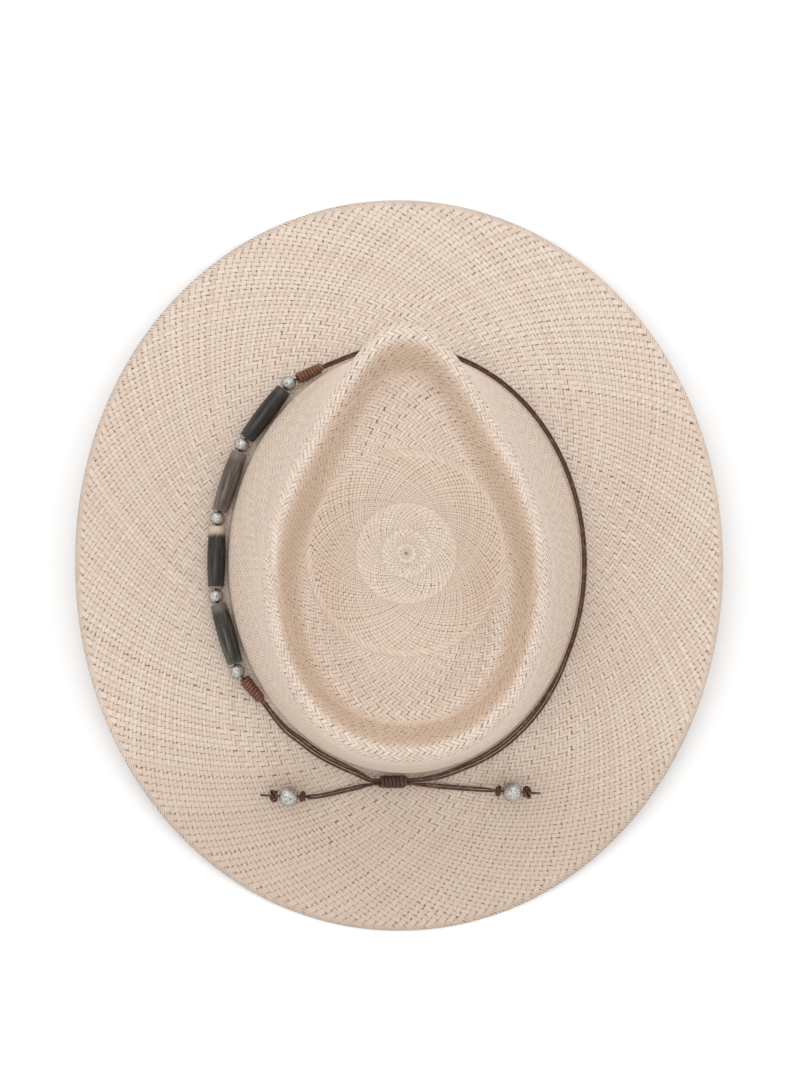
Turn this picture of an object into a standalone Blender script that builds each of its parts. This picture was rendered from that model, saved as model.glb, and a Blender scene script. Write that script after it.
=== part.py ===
"""A woven straw panama hat with a teardrop crown and a cord band of horn and metal beads.

Metres, +Z up. The hat stands on its brim at Z = 0, its front faces -Y and its back +Y.
The origin is at the middle of the hat's footprint. The beads are on +X, the wearer's left.
"""

import math

import bmesh
import bpy
import numpy as np
from mathutils import Matrix, Vector

# ---------------------------------------------------------------- driving sizes
BRIM_HALF_WIDTH = 0.1600
BRIM_HALF_LENGTH = 0.1840
BRIM_SQUARENESS = 2.04
BRIM_SIDE_RISE = 0.0215
BRIM_BREAK_HEIGHT = 0.0095
FLAT_FROM = 0.69
STRAW = 0.0012
REST_HEIGHT = STRAW / 2

CROWN_X = -0.0025
CROWN_Y = 0.0005
BASE_HALF_WIDTH = 0.0874
BASE_HALF_LENGTH = 0.1046
CREST_HEIGHT = 0.1035
TIP_RISE = 0.0135
CREST_HALF_WIDTH = 0.0624
CREST_BACK = 0.0920
CREST_TIP = -0.1000
CREST_WIDEST = 0.0080
CHANNEL_WIDTH = 0.0215
CHANNEL_FRONT_EXTRA = 0.0070
CHANNEL_DEPTH = 0.0235
CROWN_CENTRE_HEIGHT = 0.0905

GAP = 0.0003
STRAND = 0.0011
STRAND_PITCH = STRAND + GAP
BAND_CLEARANCE = 0.0005

PIPE_LENGTH = 0.0304
PIPE_RADIUS = 0.0043
PIPE_END_RADIUS = 0.0036
PIPE_BORE = 0.0018
SPACER_RADIUS = 0.00375
SPACER_BORE = 0.0018
SPACER_COUNT = 5
BEAD_GAP = 0.0004
CHAIN_START = -58.0
CHAIN_OFFSET = 0.0075
CHAIN_HEIGHT = 0.0060

WRAP_LENGTH = 0.0150
WRAP_TURNS = 8
WRAP_BORE = 0.00165
WRAP_BEAD_RADIUS = 0.0032
WRAP_STRAND_RADIUS = 0.0026
WRAP_CORD = 0.0012

KNOT_X = 0.0037
KNOT_LENGTH = 0.0150
KNOT_TRAVEL = 0.0030
TAIL_BEAD_RADIUS = 0.0050
TAIL_BORE = 0.0017

SWEATBAND_HEIGHT = 0.0330
SWEATBAND_THICKNESS = 0.0010

BACK_ANGLE = 90.0
ROUND_STEPS = 48

# The crown's colours are those of natural straw, cord of waxed brown leather.
COLOURS = {
    "straw": ((0.76, 0.67, 0.56), 0.75, 0.0),
    "leather": ((0.30, 0.20, 0.13), 0.55, 0.0),
    "reed": ((0.80, 0.76, 0.68), 0.50, 0.0),
    "thread": ((0.72, 0.66, 0.56), 0.80, 0.0),
    "ribbon": ((0.12, 0.09, 0.07), 0.70, 0.0),
    "brown_cord": ((0.16, 0.075, 0.045), 0.50, 0.0),
    "horn": ((0.09, 0.09, 0.085), 0.30, 0.0),
    "silver": ((0.62, 0.61, 0.59), 0.35, 1.0),
}


# ---------------------------------------------------------------- the hat's surface
def superellipse_radius(angles, half_x, half_y, power):
    """Distance from the centre to a superellipse in each direction."""
    reach = np.abs(np.cos(angles) / half_x) ** power + np.abs(np.sin(angles) / half_y) ** power
    return reach ** (-1.0 / power)


def crest_half_width(y):
    """Half the width of the teardrop crest at each y: a full round back and a long taper to the tip."""
    back = np.clip((y - CREST_WIDEST) / (CREST_BACK - CREST_WIDEST), 0, 1)
    front = np.clip((CREST_WIDEST - y) / (CREST_WIDEST - CREST_TIP), 0, 1)
    round_back = (1 - back**2.2) ** (1 / 2.2)
    blunt = 0.6 * front**3
    taper = (1 - blunt) * (1 - front**1.75) ** 0.95 + blunt * np.sqrt(1 - front**2)
    return CREST_HALF_WIDTH * np.where(y > CREST_WIDEST, round_back, taper)


def crest_radius(angles):
    """Distance from the crown's centre to the crest in each direction, by bisection."""
    low = np.zeros_like(angles)
    high = np.full_like(angles, 0.15)
    for _ in range(40):
        middle = (low + high) / 2
        y = middle * np.sin(angles)
        ends = (y > CREST_BACK) | (y < CREST_TIP)
        outside = ends | (middle * np.abs(np.cos(angles)) > crest_half_width(y))
        high = np.where(outside, middle, high)
        low = np.where(outside, low, middle)
    return low


CREST_ANGLES = np.linspace(-math.pi, math.pi, 1441)
CREST_RADII = crest_radius(CREST_ANGLES)


def profile_points(angles):
    """Control points of each meridian, from the crown's centre to the brim's edge: (angles, points, xyz)."""
    angles = np.atleast_1d(np.asarray(angles, float))
    front = (1 - np.sin(angles)) / 2
    curl = np.clip((np.cos(angles) ** 2 - 0.06) / 0.94, 0, 1)
    base = superellipse_radius(angles, BASE_HALF_WIDTH, BASE_HALF_LENGTH, 2.0)
    edge = superellipse_radius(angles, BRIM_HALF_WIDTH, BRIM_HALF_LENGTH, BRIM_SQUARENESS)
    crest = np.interp(angles, CREST_ANGLES, CREST_RADII, period=2 * math.pi)
    top = CREST_HEIGHT + TIP_RISE * front**2
    channel = CHANNEL_WIDTH + CHANNEL_FRONT_EXTRA * front**4
    floor = top - CHANNEL_DEPTH
    trough = crest - channel
    shoulder = crest + 0.0040
    wall_top = top - 0.0150
    lift = REST_HEIGHT + BRIM_BREAK_HEIGHT
    edge_height = REST_HEIGHT + BRIM_SIDE_RISE * curl**1.2
    brim = edge - base

    def wall(share):
        """Radius of the wall a share of the way up from the base to the shoulder."""
        return base + (shoulder + 0.0010 - base) * share**1.15

    def brim_height(share):
        """The brim falls to the table at front and back and sweeps up at the sides."""
        dropped = min(share / FLAT_FROM, 1)
        fall = dropped * dropped * (3 - 2 * dropped)
        sweep = share**1.7
        return lift + (edge_height - lift) * (fall + (sweep - fall) * curl)

    centre = CROWN_CENTRE_HEIGHT + 0 * front
    rows = [
        (0 * crest, centre, 0.0),
        (trough * 0.30, centre, 0.0),
        (trough * 0.68, centre * 0.8 + floor * 0.2, 0.0),
        (trough * 0.98, floor, 0.0),
        (trough + channel * 0.40, floor + CHANNEL_DEPTH * 0.04, 0.0),
        (trough + channel * 0.82, top - CHANNEL_DEPTH * 0.06, 0.0),
        (crest + 0.0004, top + 0.0026, 0.0),
        (shoulder + 0.0010, top - 0.0026, 0.0),
        (wall(1.0), wall_top, 0.0),
        (wall(0.66), lift + (wall_top - lift) * 0.66, 0.0),
        (wall(0.33), lift + (wall_top - lift) * 0.33, 0.0),
        (wall(0.06), lift + 0.0120, 0.0),
        (base, lift + 0.0045, 0.0),
        (base + 0.0006, lift + 0.0002, 0.0),
        (base + 0.0055, lift - 0.0002, 0.0),
        (base + brim * 0.22, brim_height(0.22), 0.2),
        (base + brim * 0.45, brim_height(0.45), 0.45),
        (base + brim * 0.70, brim_height(0.70), 0.70),
        (base + brim * 0.90, brim_height(0.90), 0.90),
        (edge, edge_height, 1.0),
    ]
    points = np.empty((len(angles), len(rows), 3))
    for index, (radius, height, share) in enumerate(rows):
        points[:, index, 0] = CROWN_X * (1 - share) + radius * np.cos(angles)
        points[:, index, 1] = CROWN_Y * (1 - share) + radius * np.sin(angles)
        points[:, index, 2] = height
    return points


PROFILE_SPANS = 19
CREST_AT = 6.0
BASE_AT = 12.4


def meridian(along, angles):
    """Points of the weave's middle surface. Along runs 0 at the centre to PROFILE_SPANS at the edge."""
    return spline_at(along, profile_points(angles))


def spline_at(along, points):
    """Points of a cubic B-spline down each row of control points."""
    along = np.broadcast_to(np.asarray(along, float), (len(points),))
    padded = np.concatenate(
        [2 * points[:, :1] - points[:, 1:2], points, 2 * points[:, -1:] - points[:, -2:-1]], axis=1
    )
    cell = np.clip(np.floor(along).astype(int), 0, PROFILE_SPANS - 1)
    t = (along - cell)[:, None]
    row = np.arange(len(points))
    p = [padded[row, cell + k] for k in range(4)]
    return (
        (1 - t) ** 3 * p[0]
        + (3 * t**3 - 6 * t**2 + 4) * p[1]
        + (-3 * t**3 + 3 * t**2 + 3 * t + 1) * p[2]
        + t**3 * p[3]
    ) / 6


def outward(along, angles):
    """Unit normals of the hat's surface, away from the head."""
    along = np.clip(np.broadcast_to(np.asarray(along, float), np.shape(angles)), 0.02, PROFILE_SPANS - 0.01)
    step = 0.01
    down = meridian(along + step, angles) - meridian(along - step, angles)
    round_ = meridian(along, angles + step) - meridian(along, angles - step)
    normal = np.cross(down, round_)
    return normal / np.linalg.norm(normal, axis=1, keepdims=True)


def wall_at(angles, height):
    """Where the crown's wall is at each angle and height: (points, horizontal outward directions)."""
    angles = np.atleast_1d(np.asarray(angles, float))
    controls = profile_points(angles)
    low = np.full_like(angles, CREST_AT + 1)
    high = np.full_like(angles, BASE_AT + 1.2)
    for _ in range(30):
        middle = (low + high) / 2
        above = spline_at(middle, controls)[:, 2] > height
        low = np.where(above, middle, low)
        high = np.where(above, high, middle)
    points = meridian(low, angles)
    normal = outward(low, angles)
    normal[:, 2] = 0
    return points, normal / np.linalg.norm(normal, axis=1, keepdims=True)


def brim_top(x, y):
    """Height of the brim's upper face over a point near the crown, by walking along its meridian."""
    controls = profile_points(math.atan2(y - CROWN_Y, x - CROWN_X))
    low, high = BASE_AT, float(PROFILE_SPANS)
    reach = math.hypot(x - CROWN_X, y - CROWN_Y)
    for _ in range(30):
        middle = (low + high) / 2
        here = spline_at(middle, controls)[0]
        if math.hypot(here[0] - CROWN_X, here[1] - CROWN_Y) < reach:
            low = middle
        else:
            high = middle
    return float(spline_at(low, controls)[0, 2]) + STRAW / 2


# ---------------------------------------------------------------- making objects
def material(name):
    found = bpy.data.materials.get(name)
    if found:
        return found
    colour, roughness, metallic = COLOURS[name]
    made = bpy.data.materials.new(name)
    made.use_nodes = True
    shader = made.node_tree.nodes["Principled BSDF"]
    shader.inputs["Base Color"].default_value = (*colour, 1)
    shader.inputs["Roughness"].default_value = roughness
    shader.inputs["Metallic"].default_value = metallic
    return made


def link(obj, slot, parent=None):
    bpy.context.scene.collection.objects.link(obj)
    obj.data.materials.append(material(slot))
    if parent:
        obj.parent = parent
    return obj


def mesh_object(name, bm, slot, sharp=40, parent=None):
    mesh = bpy.data.meshes.new(name)
    bmesh.ops.recalc_face_normals(bm, faces=bm.faces)
    bm.to_mesh(mesh)
    bm.free()
    mesh.shade_smooth()
    mesh.set_sharp_from_angle(angle=math.radians(sharp))
    return link(bpy.data.objects.new(name, mesh), slot, parent)


def shell(name, slot, angles, rows, inner, outer, closed_pole=False, parent=None):
    """A sheet that follows the hat's surface, between two distances from its middle.

    rows are places along the meridian. With closed_pole the first row is the crown's centre.
    """
    bm = bmesh.new()
    layers = []
    for distance in (outer, inner):
        grid = []
        for along in rows:
            if closed_pole and along == rows[0]:
                point = meridian(along, angles[:1])[0] + Vector((0, 0, distance))
                grid.append([bm.verts.new(point)] * len(angles))
                continue
            points = meridian(along, angles) + outward(along, angles) * distance
            grid.append([bm.verts.new(point) for point in points])
        layers.append(grid)
    count = len(angles)
    for grid in layers:
        for upper, lower in zip(grid, grid[1:]):
            for i in range(count):
                j = (i + 1) % count
                corners = list(dict.fromkeys([upper[i], upper[j], lower[j], lower[i]]))
                bm.faces.new(corners)
    ends = [-1] if closed_pole else [0, -1]
    for end in ends:
        for i in range(count):
            j = (i + 1) % count
            bm.faces.new([layers[0][end][i], layers[0][end][j], layers[1][end][j], layers[1][end][i]])
    return mesh_object(name, bm, slot, parent=parent)


def turned(name, slot, profile, steps, parent=None):
    """A ring turned about its own Z from a closed outline of (radius, z) points."""
    bm = bmesh.new()
    verts = [bm.verts.new((radius, 0, z)) for radius, z in profile]
    edges = [bm.edges.new((verts[i - 1], verts[i])) for i in range(len(verts))]
    bmesh.ops.spin(
        bm,
        geom=verts + edges,
        cent=(0, 0, 0),
        axis=(0, 0, 1),
        angle=2 * math.pi,
        steps=steps,
        use_merge=True,
    )
    bmesh.ops.remove_doubles(bm, verts=bm.verts, dist=1e-6)
    return mesh_object(name, bm, slot, parent=parent)


def smooth_route(points, per_span=3, closed=False):
    """A curve through the points, as a Catmull-Rom spline."""
    points = [Vector(p) for p in points]
    if closed:
        points = [points[-1], *points, points[0], points[1]]
    else:
        points = [2 * points[0] - points[1], *points, 2 * points[-1] - points[-2]]
    route = []
    for a, b, c, d in zip(points, points[1:], points[2:], points[3:]):
        for k in range(per_span):
            t = k / per_span
            route.append(
                ((2 * b) + (c - a) * t + (2 * a - 5 * b + 4 * c - d) * t**2 + (3 * b - a - 3 * c + d) * t**3)
                / 2
            )
    if not closed:
        route.append(points[-2])
    return route


def tube(name, slot, route, radius, sides=2, closed=False, parent=None):
    """A round cord along a route, as a curve with a bevel. Sides is its bevel resolution."""
    curve = bpy.data.curves.new(name, "CURVE")
    curve.dimensions = "3D"
    curve.bevel_depth = radius
    curve.bevel_resolution = sides
    curve.use_fill_caps = not closed
    spline = curve.splines.new("POLY")
    spline.points.add(len(route) - 1)
    for point, place in zip(spline.points, route):
        point.co = (*place, 1)
    spline.use_cyclic_u = closed
    return link(bpy.data.objects.new(name, curve), slot, parent)


def pose_on(obj, centre, direction):
    """Puts a turned piece's own Z along direction, with its origin at centre."""
    turn = Vector(direction).to_track_quat("Z", "Y").to_matrix().to_4x4()
    obj.matrix_world = Matrix.Translation(Vector(centre)) @ turn
    return obj


# ---------------------------------------------------------------- straw and sweatband
def even_angles(count):
    return np.arange(count) * 2 * math.pi / count - math.pi / 2


def straw_body():
    """The hat's one woven piece: crown and brim."""
    rows = [0, 0.8, 1.6, 2.4, 3.2, 4.0, 4.7, 5.4, 6.0, 6.6, 7.2, 8.0, 9.2, 10.6]
    rows += [11.8, 12.4, 12.9, 13.4, 14.1, 15.0, 16.2, 17.4, 18.3, 18.9]
    shell("straw_body", "straw", even_angles(ROUND_STEPS), rows, -STRAW / 2, STRAW / 2, closed_pole=True)


def sweatband_rows():
    """Places along the meridian from the sweatband's upper edge to its lower edge."""
    top = REST_HEIGHT + BRIM_BREAK_HEIGHT + SWEATBAND_HEIGHT
    places = np.linspace(9.0, 12.3, 200)
    heights = meridian(places, np.full(200, 0.0))[:, 2]
    first = float(places[np.argmin(np.abs(heights - top))])
    return list(np.linspace(first, 12.35, 4))


def sweatband():
    """A leather strip round the inside of the head opening, with the reed and thread of its lower seam."""
    near = -STRAW / 2 - GAP - 0.0005
    far = near - SWEATBAND_THICKNESS
    rows = sweatband_rows()
    shell("sweatband", "leather", even_angles(ROUND_STEPS), rows, far, near)
    angles = even_angles(ROUND_STEPS)
    reed_row = rows[-1] + 0.42
    seam_row = rows[-1] - 0.30
    reed = meridian(reed_row, angles) + outward(reed_row, angles) * (near - 0.0008)
    tube("sweatband_reed", "reed", list(reed), 0.0007, sides=1, closed=True)
    seam = meridian(seam_row, angles) + outward(seam_row, angles) * (far - GAP - 0.0005)
    tube("sweatband_stitching", "thread", list(seam), 0.00035, sides=1, closed=True)


def sweatband_bow():
    """The small ribbon bow that covers the sweatband's joint at the back."""
    row = sweatband_rows()[2]
    angle = np.array([math.radians(BACK_ANGLE)])
    spot = meridian(row, angle)[0] + outward(row, angle)[0] * -(STRAW / 2 + SWEATBAND_THICKNESS + 0.0030)
    bm = bmesh.new()
    bmesh.ops.create_uvsphere(bm, u_segments=12, v_segments=8, radius=1)
    bmesh.ops.scale(bm, vec=(0.0022, 0.0013, 0.0024), verts=bm.verts)
    bow = mesh_object("sweatband_bow", bm, "ribbon")
    bow.location = spot
    for side in (-1, 1):
        wing = bmesh.new()
        bmesh.ops.create_uvsphere(wing, u_segments=12, v_segments=8, radius=1)
        bmesh.ops.scale(wing, vec=(0.0060, 0.0009, 0.0038), verts=wing.verts)
        bmesh.ops.translate(wing, vec=(side * 0.0055, 0, 0), verts=wing.verts)
        loop = mesh_object("bow_loop_cutter", wing, "ribbon")
        loop.location = spot
        loop.hide_render = True
        loop.display_type = "WIRE"
        union = bow.modifiers.new("loop", "BOOLEAN")
        union.operation = "UNION"
        union.solver = "EXACT"
        union.object = loop


# ---------------------------------------------------------------- the cord band
BUNDLE_HEIGHT = REST_HEIGHT + BRIM_BREAK_HEIGHT + 0.0046
BUNDLE_OFFSET = STRAW / 2 + BAND_CLEARANCE + STRAND / 2
TRIANGLE = [(0.0, 0.5), (0.0, -0.5), (0.866, 0.0)]
TAIL_OFFSET = 2 * 0.866 * STRAND_PITCH + 0.0001
# Where the bundle stands off the crown to make room for a wrapping: (degrees, half width, fade, distance).
STAND_OFFS = [
    (88.0, 7.0, 9.0, 0.0015),
    (-72.0, 1.0, 12.0, 0.0019),
    (48.0, 1.0, 12.0, 0.0019),
]


def chain_points():
    """Centres of the round spacer beads: equal chords round the crown's left side."""
    chord = PIPE_LENGTH + 2 * SPACER_RADIUS + 2 * BEAD_GAP
    height = REST_HEIGHT + BRIM_BREAK_HEIGHT + CHAIN_HEIGHT

    def at(degrees):
        point, normal = wall_at(math.radians(degrees), height)
        place = point[0] + normal[0] * CHAIN_OFFSET
        # The brim sweeps up towards the sides, and the beads lie on it.
        return Vector((place[0], place[1], height + 0.0005 * math.cos(math.radians(degrees)) ** 2))

    found = [CHAIN_START]
    while len(found) < SPACER_COUNT:
        low, high = found[-1], found[-1] + 40
        for _ in range(40):
            middle = (low + high) / 2
            if (at(middle) - at(found[-1])).length < chord:
                low = middle
            else:
                high = middle
        found.append(middle)
    return found, [at(degrees) for degrees in found]


def barrel_profile(length, middle, end, bore, steps=8):
    """A bead's outline: a shallow arc outside and a straight bore."""
    outside = []
    for k in range(steps + 1):
        share = k / steps * 2 - 1
        outside.append((end + (middle - end) * (1 - share**2), share * length / 2))
    return [(bore, -length / 2), *outside, (bore, length / 2)]


def ball_profile(radius, bore, steps=8):
    """A ball with a bore: the arc from one mouth of the bore to the other."""
    mouth = math.asin(bore / radius)
    arc = [mouth + (math.pi - 2 * mouth) * k / steps for k in range(steps + 1)]
    return [(radius * math.sin(a), -radius * math.cos(a)) for a in arc]


def ribbed_profile(length, first, last, bore, turns, cord):
    """Outline of a cord wrapping: one round rib for each turn, from the first radius to the last."""
    outside = []
    for k in range(turns * 3 + 1):
        share = k / (turns * 3)
        radius = first + (last - first) * share
        dip = cord * 0.30 if k % 3 == 0 else 0
        outside.append((radius - dip, (share - 0.5) * length))
    return [(bore, -length / 2), *outside, (bore, length / 2)]


def horn_and_spacer_beads(centres, lines):
    line = [lines["front_wrapping"][0], *centres, lines["rear_wrapping"][0]]
    for index, (before, centre, after) in enumerate(zip(line, centres, line[2:])):
        bead = turned(f"spacer_bead_{index + 1}", "silver", ball_profile(SPACER_RADIUS, SPACER_BORE), 12)
        pose_on(bead, centre, (after - centre).normalized() + (centre - before).normalized())
    outline = barrel_profile(PIPE_LENGTH, PIPE_RADIUS, PIPE_END_RADIUS, PIPE_BORE)
    for index, (first, second) in enumerate(zip(centres, centres[1:])):
        pipe = turned(f"horn_pipe_{index + 1}", "horn", outline, 12)
        pose_on(pipe, (first + second) / 2, second - first)


def stand_off(degrees):
    """How much farther than usual the bundle stands from the crown."""
    total = 0
    for middle, half, fade, distance in STAND_OFFS:
        away = abs((degrees - middle + 180) % 360 - 180)
        share = min(max(1 - (away - half) / fade, 0), 1)
        total = max(total, distance * share * share * (3 - 2 * share))
    return total


def bundle_centre(degrees):
    """Middle of the inner pair of strands, and the way out from the crown there."""
    point, normal = wall_at(math.radians(degrees), BUNDLE_HEIGHT - STRAND)
    place = point[0] + normal[0] * (BUNDLE_OFFSET + stand_off(degrees))
    return Vector((place[0], place[1], BUNDLE_HEIGHT)), Vector(normal[0])


def bundle_place(centre, normal, slot):
    """Where one strand of three lies in its bundle."""
    out, up = TRIANGLE[slot]
    return centre + normal * (out * STRAND_PITCH) + Vector((0, 0, up * STRAND_PITCH))


def wrap_line(centres, degrees, at_start):
    """Axis of the wrapping beside the first or last spacer: (bead end, strand end)."""
    bead = centres[0] if at_start else centres[-1]
    side = -1 if at_start else 1
    away = (degrees[0] if at_start else degrees[-1]) + side * 12.0
    point, normal = wall_at(math.radians(away), BUNDLE_HEIGHT - 0.0010)
    target = Vector(point[0] + normal[0] * (STRAW / 2 + WRAP_STRAND_RADIUS + 0.0005))
    target.z = BUNDLE_HEIGHT
    direction = (target - bead).normalized()
    near = bead + direction * (SPACER_RADIUS + BEAD_GAP)
    return near, near + direction * WRAP_LENGTH


def wrappings(centres, degrees):
    outline = ribbed_profile(
        WRAP_LENGTH, WRAP_BEAD_RADIUS, WRAP_STRAND_RADIUS, WRAP_BORE, WRAP_TURNS, WRAP_CORD
    )
    lines = {}
    for name, at_start in (("front_wrapping", True), ("rear_wrapping", False)):
        near, far = wrap_line(centres, degrees, at_start)
        pose_on(turned(name, "brown_cord", outline, 12), (near + far) / 2, far - near)
        lines[name] = (near, far)
    return lines


def bead_strands(centres, lines):
    """Two strands, one above the other, from wrapping to wrapping through every bead."""
    front_near, front_far = lines["front_wrapping"]
    rear_near, rear_far = lines["rear_wrapping"]
    ends = 0.55
    line = [front_near.lerp(front_far, ends), front_near.lerp(front_far, 0.25)]
    for index, centre in enumerate(centres):
        line.append(centre)
        if index < len(centres) - 1:
            following = centres[index + 1]
            line += [centre.lerp(following, 0.16), centre.lerp(following, 0.5), centre.lerp(following, 0.84)]
    line += [rear_near.lerp(rear_far, 0.25), rear_near.lerp(rear_far, ends)]
    for index, side in enumerate((0.5, -0.5)):
        shifted = [point + Vector((0, 0, side * STRAND_PITCH)) for point in line]
        tube(f"bead_strand_{index + 1}", "brown_cord", smooth_route(shifted, 1), STRAND / 2, sides=1)


def knot_frame():
    """Middle of the sliding knot's bundle, behind the crown: (centre, outward direction)."""
    centre, _ = bundle_centre(BACK_ANGLE - math.degrees(KNOT_X / BASE_HALF_LENGTH))
    return Vector((KNOT_X, centre.y, centre.z)), Vector((0, 1, 0))


def held_strands(lines):
    """Three strands in front and three behind, from each wrapping round the crown to the sliding knot."""
    knot, back = knot_frame()
    straight = KNOT_LENGTH / 2 + KNOT_TRAVEL
    runs = {
        "front_strand": (lines["front_wrapping"], np.linspace(-79.0, -261.0, 30), -1),
        "rear_strand": (lines["rear_wrapping"], np.linspace(54.0, 78.0, 5), 1),
    }
    for name, ((near, far), angles, side) in runs.items():
        axis = (far - near).normalized()
        across = Vector((axis.y, -axis.x, 0)).normalized()
        if across.dot(far - Vector((CROWN_X, CROWN_Y, far.z))) < 0:
            across = -across
        for slot in range(3):
            out = (TRIANGLE[slot][0] - 0.433) * STRAND_PITCH
            up = TRIANGLE[slot][1] * STRAND_PITCH
            shift = across * out + Vector((0, 0, up))
            line = [near.lerp(far, 0.66) + shift, far + shift]
            for degrees in angles:
                centre, normal = bundle_centre(degrees)
                line.append(bundle_place(centre, normal, slot))
            for reach in (straight, KNOT_LENGTH / 2 - 0.003, 0.0016):
                line.append(bundle_place(knot + Vector((side * reach, 0, 0)), back, slot))
            tube(f"{name}_{slot + 1}", "brown_cord", smooth_route(line, 1), STRAND / 2, sides=1)


# Routes of the tails: (sideways from the knot's middle, behind the bundle, height over the brim).
LEFT_TAIL = [
    (0.0010, TAIL_OFFSET, None),
    (0.0060, TAIL_OFFSET, None),
    (0.0098, TAIL_OFFSET, None),
    (0.0140, 0.0032, 0.0034),
    (0.0200, 0.0047, 0.0022),
    (0.0280, 0.0066, 0.0018),
    (0.0350, 0.0081, 0.0027),
    (0.0400, 0.0086, 0.0044),
    (0.0425, 0.0085, 0.0056),
]
RIGHT_TAIL = [
    (-0.0010, TAIL_OFFSET, None),
    (-0.0060, TAIL_OFFSET, None),
    (-0.0100, TAIL_OFFSET, None),
    (-0.0150, 0.0029, 0.0034),
    (-0.0230, 0.0038, 0.0022),
    (-0.0320, 0.0046, 0.0018),
    (-0.0410, 0.0053, 0.0027),
    (-0.0470, 0.0057, 0.0044),
    (-0.0500, 0.0059, 0.0056),
]
TAIL_INNER_KNOT = (0.0032, 0.0024)
TAIL_END_KNOT = (0.0042, 0.0029)
TAIL_STUB = 0.0045


def tail_line(route):
    """The tail's middle line, with the straight run through its two knots and its bead at the end."""
    knot, _ = knot_frame()
    line = []
    for sideways, behind, over in route:
        x, y = knot.x + sideways, knot.y + behind
        line.append(Vector((x, y, knot.z if over is None else brim_top(x, y) + over)))
    direction = line[-1] - line[-2]
    direction.z = 0
    direction.normalize()
    return line, direction


def tails():
    """The two free ends of the cord: a pair of strands, a knot, a bead, a knot and a short stub."""
    for side, route in (("left", LEFT_TAIL), ("right", RIGHT_TAIL)):
        line, direction = tail_line(route)
        inner = line[-1] + direction * 0.0022
        bead = inner + direction * (TAIL_INNER_KNOT[0] / 2 + GAP + TAIL_BEAD_RADIUS)
        outer = bead + direction * (TAIL_BEAD_RADIUS + GAP + TAIL_END_KNOT[0] / 2)
        line += [inner, bead, outer, outer + direction * (TAIL_END_KNOT[0] / 2 + TAIL_STUB)]
        for index, up in enumerate((0.5, -0.5)):
            shifted = [point + Vector((0, 0, up * STRAND_PITCH)) for point in line]
            tube(f"{side}_tail_{index + 1}", "brown_cord", smooth_route(shifted, 2), STRAND / 2, sides=1)
        small = barrel_profile(*TAIL_INNER_KNOT, 0.0021, TAIL_BORE, 4)
        large = barrel_profile(*TAIL_END_KNOT, 0.0022, TAIL_BORE, 4)
        pose_on(turned(f"{side}_tail_inner_knot", "brown_cord", small, 12), inner, direction)
        pose_on(turned(f"{side}_tail_end_knot", "brown_cord", large, 12), outer, direction)
        ball = turned(f"{side}_tail_bead", "silver", ball_profile(TAIL_BEAD_RADIUS, TAIL_BORE), 16)
        pose_on(ball, bead, direction)


def sliding_knot():
    """The wrapping round both ends of the band and both tails, which slides to set the band's size."""
    knot, _ = knot_frame()
    near, far = -STRAND / 2 - GAP, TAIL_OFFSET + STRAND / 2 + GAP
    middle = (near + far) / 2
    half_out, half_up = (far - near) / 2 + 0.0001, STRAND_PITCH / 2 + STRAND / 2 + GAP + 0.0001
    turns, steps = 7, 16
    bm = bmesh.new()
    loops = []
    stations = turns * 3 + 1
    for k in [*range(stations), *reversed(range(stations))]:
        outside = len(loops) < stations
        share = k / (stations - 1)
        wall = 0.0
        if outside:
            wall = WRAP_CORD * (0.55 if k % 3 == 0 else 0.85)
        if not outside and k not in (0, stations - 1):
            continue
        loop = []
        for i in range(steps):
            angle = 2 * math.pi * i / steps
            c, s = math.cos(angle), math.sin(angle)
            round_off = (abs(c) ** 3 + abs(s) ** 3) ** (-1 / 3)
            y = middle + c * (half_out * round_off + wall)
            z = s * (half_up * round_off + wall)
            loop.append(bm.verts.new(((share - 0.5) * KNOT_LENGTH, y, z)))
        loops.append(loop)
    for first, second in zip(loops, loops[1:] + loops[:1]):
        for i in range(steps):
            j = (i + 1) % steps
            bm.faces.new([first[i], first[j], second[j], second[i]])
    obj = mesh_object("sliding_knot", bm, "brown_cord")
    obj.location = knot


def clear_scene():
    for obj in list(bpy.data.objects):
        bpy.data.objects.remove(obj)


def main():
    clear_scene()
    straw_body()
    sweatband()
    sweatband_bow()
    degrees, centres = chain_points()
    lines = wrappings(centres, degrees)
    horn_and_spacer_beads(centres, lines)
    bead_strands(centres, lines)
    held_strands(lines)
    tails()
    sliding_knot()


main()
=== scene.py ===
"""A woven straw panama hat with a teardrop crown and a cord band of horn and metal beads.

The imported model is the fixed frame. This file makes the fine surface over it: straws that are
really woven over and under, cords, wound knots, stippled beads, leather and stitches.
Metres, +Z up. The hat's front faces -Y, its back +Y and its beads +X.
"""

import functools
import math

import bmesh
import bpy
import numpy as np
from bpy.props import FloatProperty, FloatVectorProperty, IntProperty, PointerProperty
from mathutils import Matrix, Vector


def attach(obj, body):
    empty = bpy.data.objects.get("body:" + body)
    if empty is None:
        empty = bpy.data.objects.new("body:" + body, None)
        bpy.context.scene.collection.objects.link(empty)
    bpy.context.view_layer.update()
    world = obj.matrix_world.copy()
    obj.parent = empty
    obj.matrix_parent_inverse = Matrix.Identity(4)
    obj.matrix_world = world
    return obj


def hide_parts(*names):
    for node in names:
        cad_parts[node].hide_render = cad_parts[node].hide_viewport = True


bl_info = {
    "name": "Woven Panama Hat",
    "version": (1, 0, 0),
    "blender": (4, 5, 0),
    "location": "View3D > Sidebar > Hat",
    "description": "Weaves the straw of a panama hat and makes its beaded band, sweatband and stage",
    "category": "Add Mesh",
}

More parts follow.
